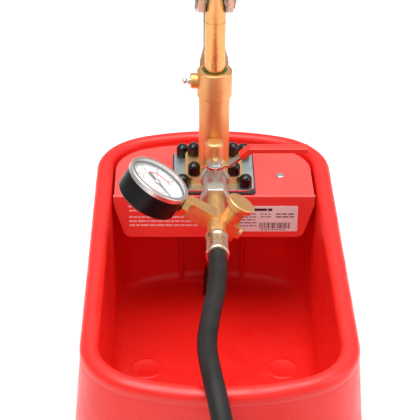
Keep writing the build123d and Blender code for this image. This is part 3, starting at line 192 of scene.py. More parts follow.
def ranged(tree, value, low, high, start=0.3, end=0.7):
    """Map a texture's middle range onto two numbers."""
    made = tree.nodes.new("ShaderNodeMapRange")
    made.inputs["From Min"].default_value = start
    made.inputs["From Max"].default_value = end
    made.inputs["To Min"].default_value = low
    made.inputs["To Max"].default_value = high
    tree.links.new(value, made.inputs["Value"])
    return made.outputs["Result"]


def shader_of(material):
    return material.node_tree.nodes["Principled BSDF"]


def vary_colour(material, second, value, share=1.0):
    """The base colour runs to a second colour where the texture is high."""
    tree = material.node_tree
    mix = tree.nodes.new("ShaderNodeMix")
    mix.data_type = "RGBA"
    mix.inputs[6].default_value = shader_of(material).inputs["Base Color"].default_value
    mix.inputs[7].default_value = (*second, 1)
    tree.links.new(ranged(tree, value, 0, share), mix.inputs[0])
    tree.links.new(mix.outputs[2], shader_of(material).inputs["Base Color"])


def vary_roughness(material, low, high, value):
    tree = material.node_tree
    tree.links.new(ranged(tree, value, low, high), shader_of(material).inputs["Roughness"])


def add_bump(material, value, distance, strength=1.0):
    """Relief of a depth in millimetres; repeated calls add up."""
    tree = material.node_tree
    made = tree.nodes.new("ShaderNodeBump")
    made.inputs["Distance"].default_value = distance * MM
    made.inputs["Strength"].default_value = strength
    tree.links.new(value, made.inputs["Height"])
    normal = shader_of(material).inputs["Normal"]
    if normal.is_linked:
        tree.links.new(normal.links[0].from_socket, made.inputs["Normal"])
    tree.links.new(made.outputs["Normal"], normal)


def plastic(name, colour, second, roughness, peel=0.05, coat=0.0, scuff=0.12):
    """Moulded plastic: slight colour drift, fine orange peel, uneven gloss."""
    made = principled(name, colour, roughness, Coat_Weight=coat, Coat_Roughness=0.12,
                      Specular_IOR_Level=0.5)
    tree = made.node_tree
    vary_colour(made, second, noise(tree, 9, 4))
    vary_roughness(made, roughness - scuff / 2, roughness + scuff, noise(tree, 60, 5))
    add_bump(made, noise(tree, 650, 2), peel)
    add_bump(made, noise(tree, 22, 2), peel * 3, 0.35)
    return made


def metal(name, colour, second, roughness, brush=(1, 1, 1), patch=45, marks=0.02, spread=0.12):
    """Machined metal: tarnish patches, tool marks stretched by brush, uneven gloss."""
    made = principled(name, colour, roughness, Metallic=1.0)
    tree = made.node_tree
    vary_colour(made, second, noise(tree, patch, 5))
    vary_roughness(made, roughness - spread / 2, roughness + spread, noise(tree, patch * 3, 4, brush))
    add_bump(made, noise(tree, 420, 3, brush), marks)
    return made


# ---------------------------------------------------------------- materials
RED_TANK = plastic("red_tank_plastic", (0.87, 0.016, 0.011), (0.80, 0.011, 0.007), 0.34, 0.035)
# The cover's base red is paler than the tank's: a painted sheen of the white surroundings, spread evenly
# over the whole cover.
RED_COVER = plastic("red_cover_plastic_painted_sheen", (0.86, 0.075, 0.062), (0.82, 0.056, 0.045), 0.40, 0.05, 0.25)
SLEEVE = plastic("dipped_vinyl", (0.80, 0.03, 0.018), (0.66, 0.014, 0.010), 0.30, 0.04, 0.3)
CAP = plastic("cap_plastic", (0.004, 0.003, 0.003), (0.008, 0.006, 0.006), 0.14, 0.01, 0.0, 0.06)
STRAINER = plastic("strainer_plastic", (0.02, 0.02, 0.02), (0.035, 0.035, 0.035), 0.5)
CASE = plastic("gauge_enamel", (0.005, 0.004, 0.004), (0.008, 0.007, 0.007), 0.30, 0.02)
shader_of(CASE).inputs["Specular IOR Level"].default_value = 0.2
RUBBER = plastic("black_rubber", (0.018, 0.018, 0.018), (0.03, 0.03, 0.03), 0.6, 0.12)
GRIP = plastic("grip_rubber", (0.02, 0.02, 0.02), (0.035, 0.034, 0.034), 0.55, 0.15)
SEAL = plastic("green_seal", (0.05, 0.22, 0.05), (0.03, 0.14, 0.03), 0.4)
FOIL = plastic("label_foil", (0.80, 0.96, 0.95), (0.76, 0.92, 0.91), 0.34, 0.02, 0.2)
TURNED = (1, 1, 14)
BRASS = metal("brass_machined", (0.88, 0.56, 0.25), (0.80, 0.46, 0.18), 0.44, (1, 12, 1))
COPPER = metal("copper_tube", (0.82, 0.46, 0.20), (0.72, 0.36, 0.13), 0.42, TURNED, 22)
ROD = metal("rod_bronze", (0.82, 0.42, 0.16), (0.70, 0.31, 0.10), 0.22, TURNED, 30)
BRONZE = metal("bearing_bronze", (0.60, 0.34, 0.14), (0.45, 0.24, 0.09), 0.4)
ZINC = metal("zinc_plate", (0.64, 0.73, 0.76), (0.72, 0.74, 0.68), 0.30, (1, 1, 1), 28, 0.01)
STEEL = metal("plain_steel", (0.56, 0.55, 0.53), (0.42, 0.41, 0.40), 0.32)
CHROME = metal("bright_chrome", (0.80, 0.79, 0.77), (0.72, 0.71, 0.69), 0.10, (1, 1, 1), 30, 0.004, 0.05)
BEZEL = metal("bezel_chrome", (0.82, 0.77, 0.74), (0.76, 0.71, 0.68), 0.32, (1, 1, 1), 30, 0.004, 0.05)
NICKEL = metal("nickel_cast", (0.66, 0.63, 0.57), (0.54, 0.50, 0.43), 0.50, (1, 1, 1), 70, 0.06)
FERRULE = metal("ferrule_plating", (0.84, 0.68, 0.50), (0.76, 0.58, 0.40), 0.28)
SPRING = metal("spring_wire", (0.50, 0.50, 0.50), (0.36, 0.35, 0.34), 0.3)
DIAL = plastic("dial_enamel", (0.72, 0.77, 0.79), (0.69, 0.74, 0.77), 0.4, 0.01)
PRINT_BLACK = principled("print_black", (0.02, 0.02, 0.02), 0.5)
PRINT_RED = principled("print_red", (0.75, 0.02, 0.02), 0.5)
PRINT_PALE = principled("print_pale", (0.86, 0.62, 0.58), 0.5)
GLASS = principled("window_clear", (1, 1, 1), 0.03, Alpha=0.10, Specular_IOR_Level=0.6)


def soften_edges(material, width):
    """Edges that catch the light as if slightly rounded."""
    tree = material.node_tree
    bevel = tree.nodes.new("ShaderNodeBevel")
    bevel.inputs["Radius"].default_value = width * MM
    normal = shader_of(material).inputs["Normal"]
    if normal.is_linked:
        first = normal.links[0].from_node
        while first.inputs["Normal"].is_linked:
            first = first.inputs["Normal"].links[0].from_node
        tree.links.new(bevel.outputs["Normal"], first.inputs["Normal"])


EDGE_SOFTNESS = 0.5      # millimetres
for metal_material in (BRASS, COPPER, ZINC, STEEL, NICKEL, CHROME):
    soften_edges(metal_material, EDGE_SOFTNESS)

FINISHES = {
    "tank_shell": RED_TANK, "pump_cover": RED_COVER, "cover_screws": CHROME, "rating_label": FOIL,
    "base_gasket": RUBBER, "mounting_plate": ZINC, "plate_bolts": ZINC, "plate_bolt_nuts": ZINC,
    "plate_bolt_caps": CAP, "flange_bolts": ZINC, "flange_bolt_nuts": ZINC, "flange_bolt_caps": CAP,
    "pump_base": BRASS, "delivery_valve_cap": BRASS, "delivery_ball": CHROME, "delivery_spring": SPRING,
    "suction_valve_body": BRASS, "suction_ball": CHROME, "suction_ball_guard": STEEL,
    "suction_pipe": COPPER, "suction_strainer": STRAINER, "cylinder_tube": COPPER,
    "cylinder_collar": COPPER, "grease_nipple": CHROME, "guide_bush": BRONZE, "rod_seal": SEAL,
    "piston_rod": ROD, "piston_head": BRASS, "piston_seals": SEAL, "piston_nut": ZINC,
    "piston_pin": STEEL, "fulcrum_bracket": ZINC, "bracket_screws": STEEL, "fulcrum_pin": STEEL,
    "lever_fork": ZINC, "lever_tube": ZINC, "lever_grip": GRIP, "ball_valve_body": NICKEL,
    "valve_ball": CHROME, "valve_stem": BRASS, "valve_handle": CHROME, "valve_handle_sleeve": SLEEVE,
    "valve_handle_nut": CHROME, "manifold_block": BRASS, "drain_spout": BRASS,
    "relief_spindle": BRASS, "relief_knob": BRASS, "gauge_socket": BRASS, "gauge_case": CASE,
    "gauge_movement": BRASS, "gauge_dial": DIAL, "gauge_needle": PRINT_BLACK, "gauge_window": GLASS,
    "gauge_bezel": BEZEL, "hose_insert": BRASS, "hose_ferrule": FERRULE, "hose_end_ferrule": FERRULE,
    "hose_end_nut": BRASS,
}


def paint(piece, material):
    if not piece.data.materials:
        piece.data.materials.append(material)
    for k in range(len(piece.data.materials)):
        piece.data.materials[k] = material


for node, finish in FINISHES.items():
    paint(nodes[node], finish)


# ---------------------------------------------------------------- hose
HOSE_R = 9.0
WRAP_PITCH = 46.0        # millimetres of hose per turn of the textile wrap
WRAP_STEP = 0.42         # height of the wrap's overlapping edge
HOSE_ROUTE = [
    (0, -51, 208), (0, -94, 208), (-8, -140, 204), (-13, -187, 203), (-8, -234, 206), (1, -281, 189),
    (8, -318, 154), (11, -340, 74), (8, -368, 31), (2, -412, 9.2), (2, -459, 9.2),
]
HOSE_STEP = 2.0          # between the tube's rings
COIL_R = 104.0
COIL_PITCH = 18.6        # how much smaller each turn is
COIL_TURNS = 1.75
COIL_STEPS = 16          # points per turn
CLIMB_START, CLIMB_TURNS = 0.27, 0.25    # the climb onto the coil, in turns before its end
CLIMB_OUT = 8.5          # how far it moves outwards as it climbs
COIL_CENTRE = (HOSE_ROUTE[-1][0] + COIL_R, HOSE_ROUTE[-1][1])


def coil_points():
    """Turns lying side by side on the floor; the last quarter climbs onto them, to the connector."""
    low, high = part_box("hose_end_ferrule")
    end = (low + high) / 2 / MM
    steps = int(COIL_TURNS * COIL_STEPS)
    points = []
    for k in range(1, steps):
        turn = k / COIL_STEPS
        climb = max(0.0, (turn - COIL_TURNS + CLIMB_START) / CLIMB_TURNS)
        ease = climb * climb * (3 - 2 * climb) if climb < 1 else 1
        radius = COIL_R - COIL_PITCH * turn + CLIMB_OUT * ease * climb
        angle = math.pi + math.tau * turn
        points.append((COIL_CENTRE[0] + radius * math.cos(angle),
                       COIL_CENTRE[1] + radius * math.sin(angle),
                       HOSE_ROUTE[-1][2] + (end.z - HOSE_ROUTE[-1][2]) * ease))
    points += [(high.x / MM + 8, end.y, end.z), (high.x / MM - 12, end.y, end.z)]
    return points


def centreline(name, points):
    """Points of a NURBS spline through the route, in metres."""
    curve = bpy.data.curves.new(name, "CURVE")
    curve.dimensions = "3D"
    curve.resolution_u = 24
    spline = curve.splines.new("NURBS")
    spline.points.add(len(points) - 1)
    for control, point in zip(spline.points, points):
        control.co = (*(c * MM for c in point), 1)
    spline.order_u = 3
    spline.use_endpoint_u = True
    temporary = bpy.data.objects.new(name, curve)
    bpy.context.scene.collection.objects.link(temporary)
    bpy.context.view_layer.update()
    line = bpy.data.meshes.new_from_object(temporary)
    found = [v.co.copy() for v in line.vertices]
    bpy.data.objects.remove(temporary)
    bpy.data.meshes.remove(line)
    return found


def evenly(points, step):
    """The line walked in equal steps."""
    walked = [points[0]]
    need = step
    for a, b in zip(points, points[1:]):
        run = (b - a).length
        start = 0.0
        while run - start >= need:
            start += need
            walked.append(a.lerp(b, start / run))
            need = step
        need -= run - start
    if (points[-1] - walked[-1]).length < step / 2:
        walked.pop()
    return walked + [points[-1]]


def hose_tube(name, points, around=36):
    """Tube with the small step of its overlapping textile wrap, and a UV map of length and girth."""
    rings, along = [], 0.0
    side = None
    for k, point in enumerate(points):
        ahead = points[min(k + 1, len(points) - 1)] - points[max(k - 1, 0)]
        ahead.normalize()
        side = UP.cross(ahead) if side is None else side - ahead * side.dot(ahead)
        if side.length < 1e-6:
            side = Vector((1, 0, 0))
        side.normalize()
        other = ahead.cross(side)
        if k:
            along += (point - points[k - 1]).length
        ring = []
        for m in range(around):
            angle = math.tau * m / around
            phase = (m / around + along / (WRAP_PITCH * MM)) % 1
            radius = (HOSE_R - WRAP_STEP + WRAP_STEP * min(1, phase * 9) * (1 - 0.35 * phase)) * MM
            ring.append(point + side * radius * math.cos(angle) + other * radius * math.sin(angle))
        rings.append(ring)
    verts = [p for ring in rings for p in ring]
    faces, uvs = [], []
    step = (points[1] - points[0]).length
    girth = HOSE_R * math.tau * MM
    for i in range(len(rings) - 1):
        a, b = i * around, (i + 1) * around
        for m in range(around):
            n = (m + 1) % around
            faces.append((a + m, a + n, b + n, b + m))
            for du, dv in ((0, 0), (1, 0), (1, 1), (0, 1)):
                uvs.append(((m + du) / around * girth, (i + dv) * step))
    mesh = bpy.data.meshes.new(name)
    mesh.from_pydata([tuple(v) for v in verts], [], faces)
    layer = mesh.uv_layers.new(name="hose")
    for loop, uv in zip(layer.data, uvs):
        loop.uv = uv
    mesh.polygons.foreach_set("use_smooth", [True] * len(faces))
    made = bpy.data.objects.new(name, mesh)
    bpy.context.scene.collection.objects.link(made)
    return made


def hose_rubber():
    """Black rubber with the weave of its curing wrap pressed into it."""
    made = principled("hose_rubber", (0.009, 0.007, 0.007), 0.55, Specular_IOR_Level=0.28)
    tree = made.node_tree
    vary_colour(made, (0.018, 0.014, 0.014), noise(tree, 45, 4))
    vary_roughness(made, 0.42, 0.62, noise(tree, 90, 4))
    flat = tree.nodes.new("ShaderNodeUVMap")
    flat.uv_map = "hose"
    for turn in (0.6, -0.97):
        mapping = tree.nodes.new("ShaderNodeMapping")
        mapping.inputs["Rotation"].default_value = (0, 0, turn)
        mapping.inputs["Scale"].default_value = (1 / MM, 1 / MM, 1)
        threads = tree.nodes.new("ShaderNodeTexWave")
        threads.inputs["Scale"].default_value = 0.30
        threads.inputs["Distortion"].default_value = 0.6
        tree.links.new(flat.outputs["UV"], mapping.inputs["Vector"])
        tree.links.new(mapping.outputs["Vector"], threads.inputs["Vector"])
        add_bump(made, threads.outputs["Fac"], 0.07, 0.8)
    add_bump(made, noise(tree, 260, 4), 0.10, 0.6)
    return made


hose_line = centreline("hose_line", HOSE_ROUTE + coil_points())
hose_path = evenly(hose_line, HOSE_STEP * MM)
hose = hose_tube("pressure_hose_rubber", hose_path)
paint(hose, hose_rubber())
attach(hose, "pump")
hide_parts("pressure_hose", "hose_coil")


def crimp(angle, along):
    """Eight jaw marks round the ferrule, between its plain ends."""
    depth = 0.075 if 5 < along < 26 else 0.0
    wave = abs(((angle * 8 / math.tau) % 1) - 0.5) * 2
    return 1 - depth * min(1, wave * 3) * 0.6 - depth * 0.4


def add_ferrule(name, node, start, axis, length):
    """Crimped steel ferrule where the hose enters a fitting."""
    profile = [(0, 7.0), (0.1, 9.6), (0.5, 10.8), (1.4, 11.4), (4, 11.5), (5, 11.4), (6.5, 11.4)]
    profile += [(6.5 + (length - 13) * k / 6, 11.4) for k in range(1, 7)]
    profile += [(length - 5, 11.4), (length - 4, 11.5), (length - 1.4, 11.4), (length - 0.5, 10.8),
                (length - 0.1, 9.8), (length, 8.0)]
    made = lathe(name, profile, start, axis, 128, crimp)
    sharpen(made, 50)
    paint(made, FERRULE)
    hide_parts(node)
    return made


low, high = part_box("hose_ferrule")
ferrule = add_ferrule("hose_ferrule_crimped", "hose_ferrule", (0, high.y, (low.z + high.z) / 2), (0, -1, 0),
                      (high.y - low.y) / MM)
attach(ferrule, "pump")


# ---------------------------------------------------------------- tank
RIM_Z = 190.0
RIM_HALF_W, RIM_HALF_L, RIM_CORNER = 115.0, 229.0, 60.0
END_BOW = 224.0
RIM_OUT, RIM_IN = 10.0, 8.0
SHOULDER_Z = 183.0
SKIRT_FLARE = 16.5
WALL = 3.5
FLOOR_Z = 27.0
REAR_LEAN = 40.0
FLOOR_ROUND = 11.0       # radius where the basin's walls meet its floor


def plan(height, half_w, front, rear, corner):
    """Tank outline at a height: straight sides, bowed ends, round corners; points in metres."""
    middle, reach = (front + rear) / 2, (rear - front) / 2
    x = half_w - corner
    bow_y = reach - END_BOW
    y = bow_y + math.sqrt((END_BOW - corner) ** 2 - x**2)
    meet = math.atan2(y - bow_y, x)
    quarter = [(half_w, y * k / 6) for k in range(6)]
    for k in range(12):
        angle = meet * k / 12
        quarter.append((x + corner * math.cos(angle), y + corner * math.sin(angle)))
    for k in range(13):
        angle = meet + (math.pi / 2 - meet) * k / 12
        quarter.append((END_BOW * math.cos(angle), bow_y + END_BOW * math.sin(angle)))
    half = quarter + [(-px, py) for px, py in quarter[-2::-1]]
    full = half + [(px, -py) for px, py in half[-2:0:-1]]
    return [Vector((px, py + middle, height)) * MM for px, py in full]


def rim_ring(height, beyond):
    reach = RIM_HALF_L + beyond
    return plan(height, RIM_HALF_W + beyond, -reach, reach, RIM_CORNER + beyond)


def basin_ring(height, grow):
    depth = (RIM_Z - height) / (RIM_Z - FLOOR_Z)
    return plan(height, RIM_HALF_W - RIM_IN - 1.5 * depth + grow,
                -(RIM_HALF_L - RIM_IN) + 2.0 * depth - grow,
                RIM_HALF_L - RIM_IN - REAR_LEAN * depth + grow,
                RIM_CORNER - RIM_IN - 6.0 * depth + grow)


def shrunk(ring, share):
    """The ring drawn in towards its middle."""
    middle = sum(ring, Vector()) / len(ring)
    return [middle.lerp(p, share) for p in ring]


def skirt_ring(height, inset=0.0):
    """Ring on the outside of the flared skirt."""
    beyond = RIM_OUT - 1 + SKIRT_FLARE * (SHOULDER_Z - height) / SHOULDER_Z
    return rim_ring(height, beyond - inset)


def add_tank():
    """Blow-moulded tank: basin, rolled rim and flared skirt as one shell with thickness."""
    floor = basin_ring(FLOOR_Z, -FLOOR_ROUND)
    rings = [shrunk(floor, share) for share in (0.02, 0.2, 0.4, 0.6, 0.8, 0.94)]
    for k in range(9):
        angle = math.pi / 2 * k / 8
        rings.append(basin_ring(FLOOR_Z + FLOOR_ROUND * (1 - math.cos(angle)),
                                -FLOOR_ROUND * (1 - math.sin(angle))))
    rings += [basin_ring(height, 0) for height in (60, 90, 120, 150, 168, 178)]
    # rolled rim, from its inner edge over the crest to its outer edge
    rim = [(-7.9, 181.5), (-7.8, 183.5), (-7.2, 185.8), (-6.0, 187.7), (-4.2, 189.1), (-2.0, 189.8),
           (0.3, 190.0), (2.8, 189.8), (5.0, 189.1), (7.1, 187.8), (8.7, 186.0), (9.7, 183.8),
           (10.0, 181.6), (9.9, 179.6), (9.6, 178.2), (9.25, 177.3)]
    rings += [rim_ring(height, beyond) for beyond, height in rim]
    rings += [skirt_ring(height) for height in (175.5, 170, 150, 120, 90, 60, 30, 12, 6)]
    rings += [skirt_ring(3, -0.6), skirt_ring(1, -0.4), skirt_ring(0, 0.8), skirt_ring(0, WALL - 0.6),
              skirt_ring(1, WALL)]
    rings += [skirt_ring(height, WALL) for height in (30, 90, 150, 172)]
    rings += [rim_ring(178.5, 3), rim_ring(179.5, 0), rim_ring(178.5, -3.2)]
    rings += [basin_ring(height, WALL) for height in (172, 150, 120, 90, 60, FLOOR_Z + 8)]
    under = basin_ring(FLOOR_Z - WALL, WALL - 8)
    rings += [basin_ring(FLOOR_Z - 1, WALL - 2), under]
    rings += [shrunk(under, share) for share in (0.7, 0.4, 0.02)]
    made = skin("tank_body", rings)
    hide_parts("tank_shell")
    return made


RIB_X, RIB_HALF = 34.0, 2.0
POST_X, POST_Y = 71.0, 143.0             # bosses for the cover's screws
POST_LOW, POST_TOP = 142.0, 179.5


def add_tank_ribs():
    """Two thin stiffening ribs on the leaning rear wall, rounded along their fronts."""
    ribs = []
    for side in (-1, 1):
        rings = []
        for height in (24, 40, 60, 80, 100, 120, 140, 148, 150):
            share = (height - 26) / 124
            front = 172 + 26 * share + (3 if height == 150 else 0)
            back = front + 15
            ring = []
            for k in range(9):
                angle = math.pi * k / 8
                ring.append(Vector((side * RIB_X + RIB_HALF * math.cos(angle),
                                    front + RIB_HALF * (1 - math.sin(angle)), height)) * MM)
            ring += [Vector((side * RIB_X - RIB_HALF, back, height)) * MM,
                     Vector((side * RIB_X + RIB_HALF, back, height)) * MM]
            rings.append(ring)
        ribs.append(skin("rib", rings))
    return sharpen(join(ribs, "tank_ribs"), 50)


def add_tank_bosses():
    """Hollow bosses that take the cover's screws, each on a gusset from the rear wall."""
    pieces = []
    for side in (-1, 1):
        profile = [(POST_LOW, 0.4), (POST_LOW, 4.2), (POST_LOW + 0.8, 5.0), (POST_TOP - 0.5, 7.0),
                   (POST_TOP, 6.6), (POST_TOP, 2.2), (158, 2.2)]
        pieces.append(lathe("boss", profile, (side * POST_X * MM, POST_Y * MM, 0), UP, 40))
        outline = [(POST_Y, POST_LOW), (191, 100), (208, 172), (196, 172), (196, 178), (POST_Y, 178)]
        rings = [[Vector((side * POST_X + across, y, z)) * MM for y, z in outline]
                 for across in (-1.5, 1.5)]
        pieces.append(skin("gusset", rings))
    return sharpen(join(pieces, "tank_bosses"), 40)


def add_floor_marks():
    """Faint round mould marks standing proud of the basin's floor."""
    marks = []
    for x, y, radius in ((-POST_X, 12, 15), (POST_X, 12, 15), (0, -20, 7)):
        profile = [(-0.4, radius + 2.6), (0.02, radius + 2.4), (0.35, radius + 1.2), (0.45, radius),
                   (0.35, radius - 1.2), (0.05, radius - 2.2), (0.03, 0.4)]
        marks.append(lathe("mark", profile, (x * MM, y * MM, FLOOR_Z * MM), UP, 64))
    return join(marks, "tank_floor_marks")


for piece in (add_tank(), add_tank_ribs(), add_tank_bosses(), add_floor_marks()):
    paint(piece, RED_TANK)
    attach(piece, "pump")


# ---------------------------------------------------------------- printing on the cover's front
COVER_FACE_Y = 101.5     # the apron's front
BAR_T = 0.06             # how far a printed bar stands proud


def bar(x0, x1, z0, z1, y):
    """Thin raised bar on a face that looks to -Y."""
    corners = [(x, dy, z) for dy in (0, -BAR_T) for x, z in ((x0, z0), (x1, z0), (x1, z1), (x0, z1))]
    verts = [Vector((x, y + dy, z)) * MM for x, dy, z in corners]
    faces = [(0, 1, 2, 3), (7, 6, 5, 4), (0, 4, 5, 1), (1, 5, 6, 2), (2, 6, 7, 3), (3, 7, 4, 0)]
    return mesh_object("bar", verts, faces, False)


def word_row(draw, x0, x1, z, height, y=COVER_FACE_Y, longest=9.0):
    """A row of bars of word lengths, standing for a line of print."""
    bars = []
    x = x0
    while x < x1 - 2:
        end = min(x1, x + draw.uniform(2.0, longest))
        bars.append(bar(x, end, z - height / 2, z + height / 2, y))
        x = end + 1.1
    return bars


def add_notice():
    """Lines of pale print on the left of the apron, as bars."""
    draw = random.Random(4)
    bars = word_row(draw, -90, -42, 170.5, 1.9)
    bars += word_row(draw, -89, -70, 165.5, 1.9)
    for height in (157.5, 152.5, 147.5):
        bars += word_row(draw, -89, -14, height, 2.1)
    return join(bars, "notice_print")


def add_label_print():
    """Rows of bars and a bar-code block on the rating label."""
    low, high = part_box("rating_label")
    left, right = low.x / MM, high.x / MM
    bottom, top = low.z / MM, high.z / MM
    face = low.y / MM
    draw = random.Random(11)
    bars = word_row(draw, left + 3, left + 40, top - 4.2, 3.0, face, 14)
    for k in range(5):
        height = top - 9.5 - 3.6 * k
        bars += word_row(draw, left + 3, left + 24, height, 1.0, face, 7)
    bars += word_row(draw, left + 28, left + 41, top - 9.5, 1.0, face, 7)
    bars += word_row(draw, left + 44, right - 4, top - 9.5, 1.3, face, 9)
    bars += word_row(draw, left + 28, left + 41, top - 13.0, 1.0, face, 7)
    bars += word_row(draw, left + 44, right - 4, top - 13.0, 1.3, face, 9)
    x = left + 27
    while x < right - 8:
        width = draw.choice((0.35, 0.35, 0.7, 1.0))
        bars.append(bar(x, x + width, bottom + 3.6, bottom + 11, face))
        x += width + draw.choice((0.5, 0.5, 0.9))
    bars += word_row(draw, left + 29, right - 10, bottom + 2.0, 0.9, face, 3)
    return join(bars, "label_print")


notice = add_notice()
paint(notice, PRINT_PALE)
label_print = add_label_print()
paint(label_print, PRINT_BLACK)
for piece in (notice, label_print):
    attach(piece, "pump")


# ---------------------------------------------------------------- gauge face
BRANCH = math.radians(31)
ALONG = Vector((-math.cos(BRANCH), 0, math.sin(BRANCH)))
ACROSS = Vector((math.sin(BRANCH), 0, math.cos(BRANCH)))
GAUGE_CENTRE = Vector((0, 12, 208)) * MM + ALONG * 72 * MM
DIAL_TOP = 7.8
SWEEP_START, SWEEP = 225.0, 270.0    # zero mark, clockwise from the top, and the whole scale
PRINT_T = 0.05


def on_dial(radius, degrees, height):
    """Point on the dial: radius in millimetres, angle clockwise from the top mark."""
    angle = math.radians(degrees)
    flat = Vector((0, 1, 0)) * math.sin(angle) + ALONG * math.cos(angle)
    return GAUGE_CENTRE + (flat * radius + ACROSS * height) * MM


def dial_patch(r0, r1, a0, a1, height=DIAL_TOP + 0.01):
    """Raised patch between two radii and two angles."""
    steps = max(1, int(abs(a1 - a0) / 3))
    rings = []
    for k in range(steps + 1):
        angle = a0 + (a1 - a0) * k / steps
        rings.append([on_dial(r0, angle, height), on_dial(r1, angle, height),
                      on_dial(r1, angle, height + PRINT_T), on_dial(r0, angle, height + PRINT_T)])
    return skin("patch", rings)


def dial_number(text, size, radius, degrees):
    """Figure on the dial, upright to the dial's top."""
    curve = bpy.data.curves.new("number", "FONT")
    curve.body = text
    curve.size = size * MM
    curve.extrude = PRINT_T * MM / 2
    curve.align_x = "CENTER"
    curve.align_y = "CENTER"
    figure = bpy.data.objects.new("number", curve)
    bpy.context.scene.collection.objects.link(figure)
    bpy.context.view_layer.update()
    mesh = bpy.data.meshes.new_from_object(figure)
    bpy.data.objects.remove(figure)
    turn = Matrix((Vector((0, 1, 0)), ALONG, ACROSS)).transposed()
    place = Matrix.Translation(on_dial(radius, degrees, DIAL_TOP + 0.03)) @ turn.to_4x4()
    mesh.transform(place)
    made = bpy.data.objects.new("number", mesh)
    bpy.context.scene.collection.objects.link(made)
    return made


def add_dial_print():
    """Outer black scale with figures, inner red scale with its warning arc."""
    black, red = [], []
    for k in range(61):
        angle = SWEEP_START + SWEEP * k / 60
        major = k % 10 == 0
        inner = 23.2 if major else (24.4 if k % 5 == 0 else 25.3)
        half = 1.1 if major else 0.55
        black.append(dial_patch(inner, 27.0, angle - half, angle + half))
    black.append(dial_patch(26.9, 27.2, SWEEP_START, SWEEP_START + SWEEP))
    for k in range(7):
        black.append(dial_number(str(10 * k), 4.6, 19.6, SWEEP_START + SWEEP * k / 6))
    for k in range(36):
        angle = SWEEP_START + SWEEP * k / 36
        red.append(dial_patch(13.8 if k % 4 else 12.8, 15.6, angle - 0.9, angle + 0.9))
    red.append(dial_patch(15.5, 15.8, SWEEP_START, SWEEP_START + SWEEP))
    red.append(dial_patch(14.8, 17.0, 55, 152, DIAL_TOP + 0.015))
    for k in range(1, 6):
        red.append(dial_number(str(200 * k), 2.2, 11.0, SWEEP_START + SWEEP * k / 6))
    return join(black, "dial_print_black"), join(red, "dial_print_red")


black_print, red_print = add_dial_print()
paint(black_print, PRINT_BLACK)
paint(red_print, PRINT_RED)
for piece in (black_print, red_print):
    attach(piece, "pump")

needle_hub = lathe("needle_hub", [(9.2, 3.4), (10.1, 3.3), (10.4, 2.9), (10.45, 0.3)],
                   GAUGE_CENTRE, ACROSS, 40)
paint(needle_hub, CHROME)
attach(needle_hub, "gauge_pointer")


# ---------------------------------------------------------------- lever grip
LEVER_TILT = math.radians(48)
GRIP_LENGTH = 125.0


def add_grip():
    """Ribbed rubber grip with a flared end."""
    axis = Vector((0, -math.cos(LEVER_TILT), math.sin(LEVER_TILT)))
    low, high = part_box("lever_grip")
    centre = (low + high) / 2
    length = GRIP_LENGTH
    start = centre - axis * length / 2 * MM
    profile = [(0, 11.05), (0.1, 13.6), (1.2, 14.6), (4, 15.0), (7, 14.8)]
    along = 9.0
    while along < length - 16:
        profile += [(along, 14.7), (along + 0.8, 13.5), (along + 2.0, 13.4), (along + 2.8, 14.6),
                    (along + 4.6, 14.7)]
        along += 5.6
    profile += [(length - 9, 14.8), (length - 5, 15.0), (length - 2, 14.0), (length - 0.6, 11.5),
                (length, 7.5), (length, 0.4)]
    made = lathe("lever_grip_ribbed", profile, start, axis, 64)
    sharpen(made, 45)
    return made


grip = add_grip()
paint(grip, GRIP)
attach(grip, "lever")
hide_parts("lever_grip")


# ---------------------------------------------------------------- delivery spring
def add_spring():
    """Close wound wire helix in the valve chest."""
    low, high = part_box("delivery_spring")
    centre = (low + high) / 2
    radius = (high.x - low.x) / 2 - 0.45 * MM
    turns, steps = 6, 6 * 28
    wire = 0.42 * MM
    around = [math.tau * m / 10 for m in range(10)]
    rings = []
    for k in range(steps + 1):
        share = k / steps
        angle = math.tau * turns * share
        out = Vector((math.cos(angle), math.sin(angle), 0))
        centre_point = Vector((centre.x, centre.y, low.z + wire + (high.z - low.z - 2 * wire) * share)) \
            + out * radius
        rings.append([centre_point + (out * math.cos(turn) + UP * math.sin(turn)) * wire
                      for turn in around])
    made = skin("delivery_spring_wire", rings)
    paint(made, SPRING)
    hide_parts("delivery_spring")
    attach(made, "pump")


add_spring()


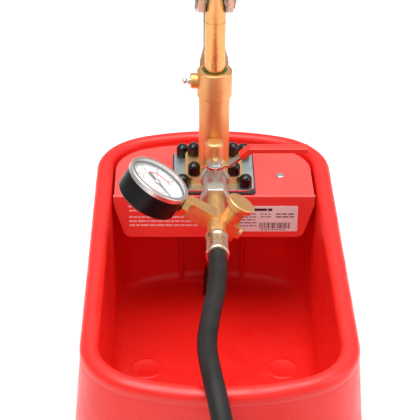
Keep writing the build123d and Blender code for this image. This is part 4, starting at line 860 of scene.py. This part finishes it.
# ---------------------------------------------------------------- floor and light
def add_floor():
    half = 6.0
    verts = [(-half, -half, 0), (half, -half, 0), (half, half, 0), (-half, half, 0)]
    floor = mesh_object("floor", [Vector(v) - UP * 0.0002 for v in verts], [(0, 1, 2, 3)], False)
    surface = principled("floor_white", (0.92, 0.92, 0.92), 0.7)
    vary_colour(surface, (0.90, 0.90, 0.90), noise(surface.node_tree, 2))
    paint(floor, surface)


def add_light(name, place, target, size, power, colour=(1, 1, 1)):
    data = bpy.data.lights.new(name, "AREA")
    data.shape = "RECTANGLE"
    data.size, data.size_y = size
    data.energy = power
    data.color = colour
    light = bpy.data.objects.new(name, data)
    light.location = place
    light.rotation_euler = (Vector(target) - Vector(place)).to_track_quat("-Z", "Y").to_euler()
    bpy.context.scene.collection.objects.link(light)


def add_world():
    """Pale surroundings that darken towards the horizon, so that metal has something to reflect."""
    world = bpy.data.worlds.new("studio")
    world.use_nodes = True
    bpy.context.scene.world = world
    tree = world.node_tree
    background = tree.nodes["Background"]
    place = tree.nodes.new("ShaderNodeTexCoord")
    split = tree.nodes.new("ShaderNodeSeparateXYZ")
    ramp = tree.nodes.new("ShaderNodeValToRGB")
    ramp.color_ramp.elements[0].position = 0.0
    ramp.color_ramp.elements[0].color = (0.42, 0.42, 0.43, 1)
    ramp.color_ramp.elements[1].position = 0.8
    ramp.color_ramp.elements[1].color = (1, 1, 1, 1)
    tree.links.new(place.outputs["Generated"], split.inputs["Vector"])
    tree.links.new(split.outputs["Z"], ramp.inputs["Fac"])
    tree.links.new(ramp.outputs["Color"], background.inputs["Color"])
    background.inputs["Strength"].default_value = 0.68


add_floor()
add_world()
add_light("key", (-0.7, -0.7, 2.1), (0, 0, 0.15), (1.2, 1.2), 19)
add_light("top", (0.1, 0.1, 2.2), (0, 0.0, 0.15), (1.6, 1.6), 42)
add_light("side", (1.7, -0.4, 0.9), (0, 0, 0.2), (0.8, 1.4), 8)
bpy.context.scene.view_settings.view_transform = "Standard"
